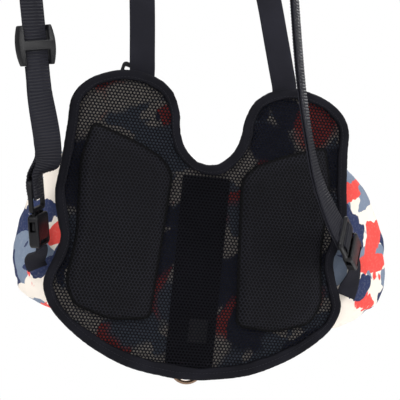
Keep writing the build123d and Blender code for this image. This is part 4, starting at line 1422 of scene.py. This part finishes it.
class VEST_OT_straps(PieceOperator):
    """Build the shoulder straps, ribbed side straps, their returns and the buckle tabs"""
    bl_idname = "vest.straps"
    bl_label = "Straps"

    def build(self, context):
        for side in SIDES:
            self.shoulder(side)
            self.side_strap(side)
            self.strap_return(side)
            self.tab(side)
            self.lobe(side)
        self.wrap()

    def shoulder(self, side):
        made = make_strap(f"{side}_shoulder_webbing", self.loop(side)[0])
        place_piece(made, ROOT, "webbing", f"{side}_shoulder_strap")

    def loop(self, side, step=2.4):
        """The whole loop of webbing, cut in two at its very top."""
        route = stations(SHOULDER[side] + tuple(arch(side, 180, 0)) + SIDE_RUN[side])
        route += self.ends(side, STRAP_RISE[side])
        frames = webbing_frames(route, step)
        places = [place for place, _ in route[:len(SHOULDER[side]) + 4]]
        top = sum(max(2, ceil((b - a).length / step)) for a, b in zip(places, places[1:]))
        return frames[:top + 1], frames[top:]

    def ends(self, side, rise):
        _, wide, up, _ = buckle_axes(side)
        made = []
        for entry in ENTRY:
            place = at_buckle(side, 0, entry, 0)
            facing = (-up).cross(wide * SIGN[side])
            made.append((place + facing * rise, wide * SIGN[side]))
        return made

    def side_strap(self, side):
        made = make_strap(f"{side}_ribbed_strap", self.loop(side)[1], ribs=((0.0, 1.0),))
        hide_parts(f"{side}_side_strap", f"{side}_strap_end")
        self.bend(made, side)

    def bend(self, made, side):
        """Bake the strap's placement into its mesh; the strap is not bent to the buckle or the vest."""
        start = Vector(SIDE_RUN[side][-2][:3]) * MM
        end = at_buckle(side, 0, 36, 0) * MM
        start + (start - end) * 0.5
        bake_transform(made)

    def strap_return(self, side):
        first = 1 if side == "left" else 0
        upper, lower = (Vector(SIDE_RUN[side][first + k][:3]) for k in (0, 1))
        share = {"left": 0.6585, "right": 0.20}[side]
        up = (upper - lower).normalized()
        start = upper + (lower - upper) * share - up * 18.3
        turn = SIDE_RUN[side][first + 1][3]
        rest = SIDE_RUN[side][first + 1:]
        route = [(start, turn_to_across(turn))] + stations(rest)
        frames = webbing_frames(route, 2.4)
        lifted = [(place + facing * (RETURN_SIDE[side] * 2.3), across) for place, across, facing in frames]
        route = lifted[::6] + self.ends(side, RETURN_RISE[side])
        made = make_strap(f"{side}_ribbed_return", webbing_frames(route, 2.4), ribs=((0.0, 1.0),))
        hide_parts(f"{side}_strap_return")
        self.bend(made, side)

    def tab(self, side):
        _, wide, _, _ = buckle_axes(side)
        route = [(at_buckle(side, 0, -24.4, 0), wide), (at_buckle(side, 0, -31, 0), wide)]
        route += stations(TAB_ANCHOR[side])
        made = make_strap(f"{side}_anchor_tab", webbing_frames(route, 2.0), width=0.020)
        place_piece(made, ROOT, "webbing", f"{side}_buckle_tab")

    def wrap(self):
        """The webbing woven through the right buckle's ladder, over its middle bar."""
        _, wide, _, _ = buckle_axes("right")
        weave = ((37, -1.5), (33.5, -2.4), (29.5, 0.2), (26, 2.9), (22.5, 3.5), (18.5, 3.5), (15, 2.9),
                 (11.5, 0.2),
                 (9.6, -1.0))
        route = [(at_buckle("right", 0, y, z), wide) for y, z in weave]
        made = make_strap("right_woven_end", webbing_frames(route, 1.6), width=0.0245, ribs=((0.0, 1.0),))
        place_piece(made, "right_buckle_male", "webbing")

    def lobe(self, side):
        sign = SIGN[side]
        loop = webbing_frames(stations([(sign * x, y, z, t) for x, y, z, t in LOBE_LOOP]), 2.0)
        made = make_strap(f"{side}_sewn_loop", loop)
        place_piece(made, ROOT, "webbing", f"{side}_lobe_loop")
        tail = webbing_frames(stations([(sign * x, y, z, t) for x, y, z, t in STRAP_TAIL]), 2.0)
        made = make_strap(f"{side}_loose_tail", tail)
        place_piece(made, ROOT, "webbing", f"{side}_strap_tail")
        box = [(sign * 73 + a, 16.7, b) for a, b in
               ((-10, 100), (10, 100), (10, 118), (-10, 118), (-10, 100), (10, 118))]
        cross = [(sign * 73 + a, 16.7, b) for a, b in ((10, 100), (-10, 118))]
        sew(f"{side}_lobe_stitches", [box, cross], pitch=0.0026)


class VEST_OT_hardware(PieceOperator):
    """Finish the sliders, buckles and adjusters of moulded plastic"""
    bl_idname = "vest.hardware"
    bl_label = "Plastic hardware"

    def build(self, context):
        for side in SIDES:
            soften(f"{side}_slider_frame", f"{side}_strap_slider", f"{side}_strap_slider", "moulded_plastic",
                   "plastic", 0.0011, 3)
            soften(f"{side}_male_half", f"{side}_buckle_male", f"{side}_buckle_male", "moulded_plastic",
                   "plastic", 0.0006)
            soften(f"{side}_female_half", f"{side}_buckle_female", ROOT, "moulded_plastic", "plastic", 0.0006)
            soften(f"{side}_ladder", f"{side}_lobe_adjuster", ROOT, "moulded_plastic", "plastic", 0.0009, 3)
            for place in ("inner", "outer"):
                soften(f"{side}_{place}_arm", f"{side}_{place}_prong", f"{side}_{place}_prong",
                       "moulded_plastic", "plastic", 0.0005)


class VEST_OT_back(PieceOperator):
    """Build the spine webbing, the grab handle with its sleeve, the ring tab and the ring"""
    bl_idname = "vest.back"
    bl_label = "Handle and ring"

    def build(self, context):
        spine = [(Vector((0, 15.55, z)), Vector((1, 0, 0))) for z in range(54, -131, -8)]
        made = make_strap("spine_band", webbing_frames(spine, 4.0), 0.038, 0.0015, ribs=((0.0, 1.0),))
        place_piece(made, ROOT, "webbing", "spine_webbing")
        rows = [[(x, 16.55, 53), (x, 16.55, -129)] for x in (-16.6, 16.6)]
        self.box(rows, 0, 46, 11, 5.4)
        self.box(rows, 0, -46, 11, 5.4)
        self.box(rows, 0, -104, 8, 6, 19.9)
        sew("spine_stitches", rows)
        self.handle()
        self.ring()

    def box(self, rows, x, z, wide, high, y=18.95):
        """A box of stitches with a cross in it."""
        corners = ((-wide, -high), (wide, -high), (wide, high), (-wide, high), (-wide, -high), (wide, high))
        rows.append([(x + a, y, z + b) for a, b in corners])
        rows.append([(x + a, y, z + b) for a, b in ((wide, -high), (-wide, high))])

    def handle(self):
        low, high = 17.6, 41.6
        line = [(low, -52), (low, -44), (low + 0.6, -38), (low + 6, -34), (high - 8, -28.5), (high - 2, -24),
                (high, -17), (high, 0)]
        path = [Vector((0, y, z)) for y, z in line]
        path += [Vector((0, y, -z)) for y, z in reversed(line[:-1])]
        route = [(place, Vector((1, 0, 0))) for place in path]
        made = make_strap("handle_band", webbing_frames(route, 2.4), 0.025, 0.0022,
                          ribs=((0.0, 0.34), (0.66, 1.0)))
        place_piece(made, ROOT, "webbing", "grab_handle")
        verts = []
        around, rings = 28, 25
        for n in range(rings):
            z = -20 + 40 * n / (rings - 1)
            end = 1 - abs(z) / 20
            tuck = 1 - 0.16 * max(0.0, 1 - end * 7) ** 2
            for k in range(around):
                angle = 2 * pi * k / around
                crease = 1 + 0.025 * noise.noise(Vector((cos(angle) * 2, z * 0.2, sin(angle) * 2)))
                x = 15.2 * tuck * crease * np.sign(cos(angle)) * abs(cos(angle)) ** 0.55
                y = 41.6 + 3.75 * tuck * crease * np.sign(sin(angle)) * abs(sin(angle)) ** 0.62
                verts.append(Vector((x, y, z)) * MM)
        faces = ring_faces(rings, around)
        faces.append(tuple(range(around - 1, -1, -1)))
        faces.append(tuple(range((rings - 1) * around, rings * around)))
        grip = face_outward(make_object("grip_sleeve", verts, faces, "sleeve"))
        place_piece(grip, ROOT, "grip_foam", "handle_grip")
        rows = [[(x, 45.3, -18), (x, 45.3, 18)] for x in (-10.5, 10.5)]
        sew("grip_stitches", rows, slot_name="grip_foam")

    def ring(self):
        soften("tab_fold", "ring_tab", ROOT, "webbing", "tape", 0.0004)
        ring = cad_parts["tether_ring"]
        ring.data.materials.clear()
        ring.data.materials.append(MATERIAL["ring"])


class VEST_PT_panel(bpy.types.Panel):
    """Lists the vest's pieces and settings"""
    bl_idname = "VEST_PT_panel"
    bl_label = "Safety harness vest"
    bl_space_type = "VIEW_3D"
    bl_region_type = "UI"
    bl_category = "Vest"

    def draw(self, context):
        for group in (context.scene.vest_sizes, context.scene.vest_colours):
            box = self.layout.box()
            for key in group.__annotations__:
                box.prop(group, key)
        for operator in OPERATORS:
            self.layout.operator(operator.bl_idname)


OPERATORS = (VEST_OT_stage, VEST_OT_materials, VEST_OT_panel, VEST_OT_binding, VEST_OT_pads,
             VEST_OT_pouches, VEST_OT_zips, VEST_OT_straps, VEST_OT_hardware, VEST_OT_back)
CLASSES = (VestSizes, VestColours, *OPERATORS, VEST_PT_panel)


def register():
    for made in CLASSES:
        bpy.utils.register_class(made)
    bpy.types.Scene.vest_sizes = PointerProperty(type=VestSizes)
    bpy.types.Scene.vest_colours = PointerProperty(type=VestColours)


def unregister():
    del bpy.types.Scene.vest_colours
    del bpy.types.Scene.vest_sizes
    for made in reversed(CLASSES):
        bpy.utils.unregister_class(made)


def main():
    register()
    for operator in OPERATORS:
        group, name = operator.bl_idname.split(".")
        getattr(getattr(bpy.ops, group), name)()


if __name__ == "__main__":
    main()
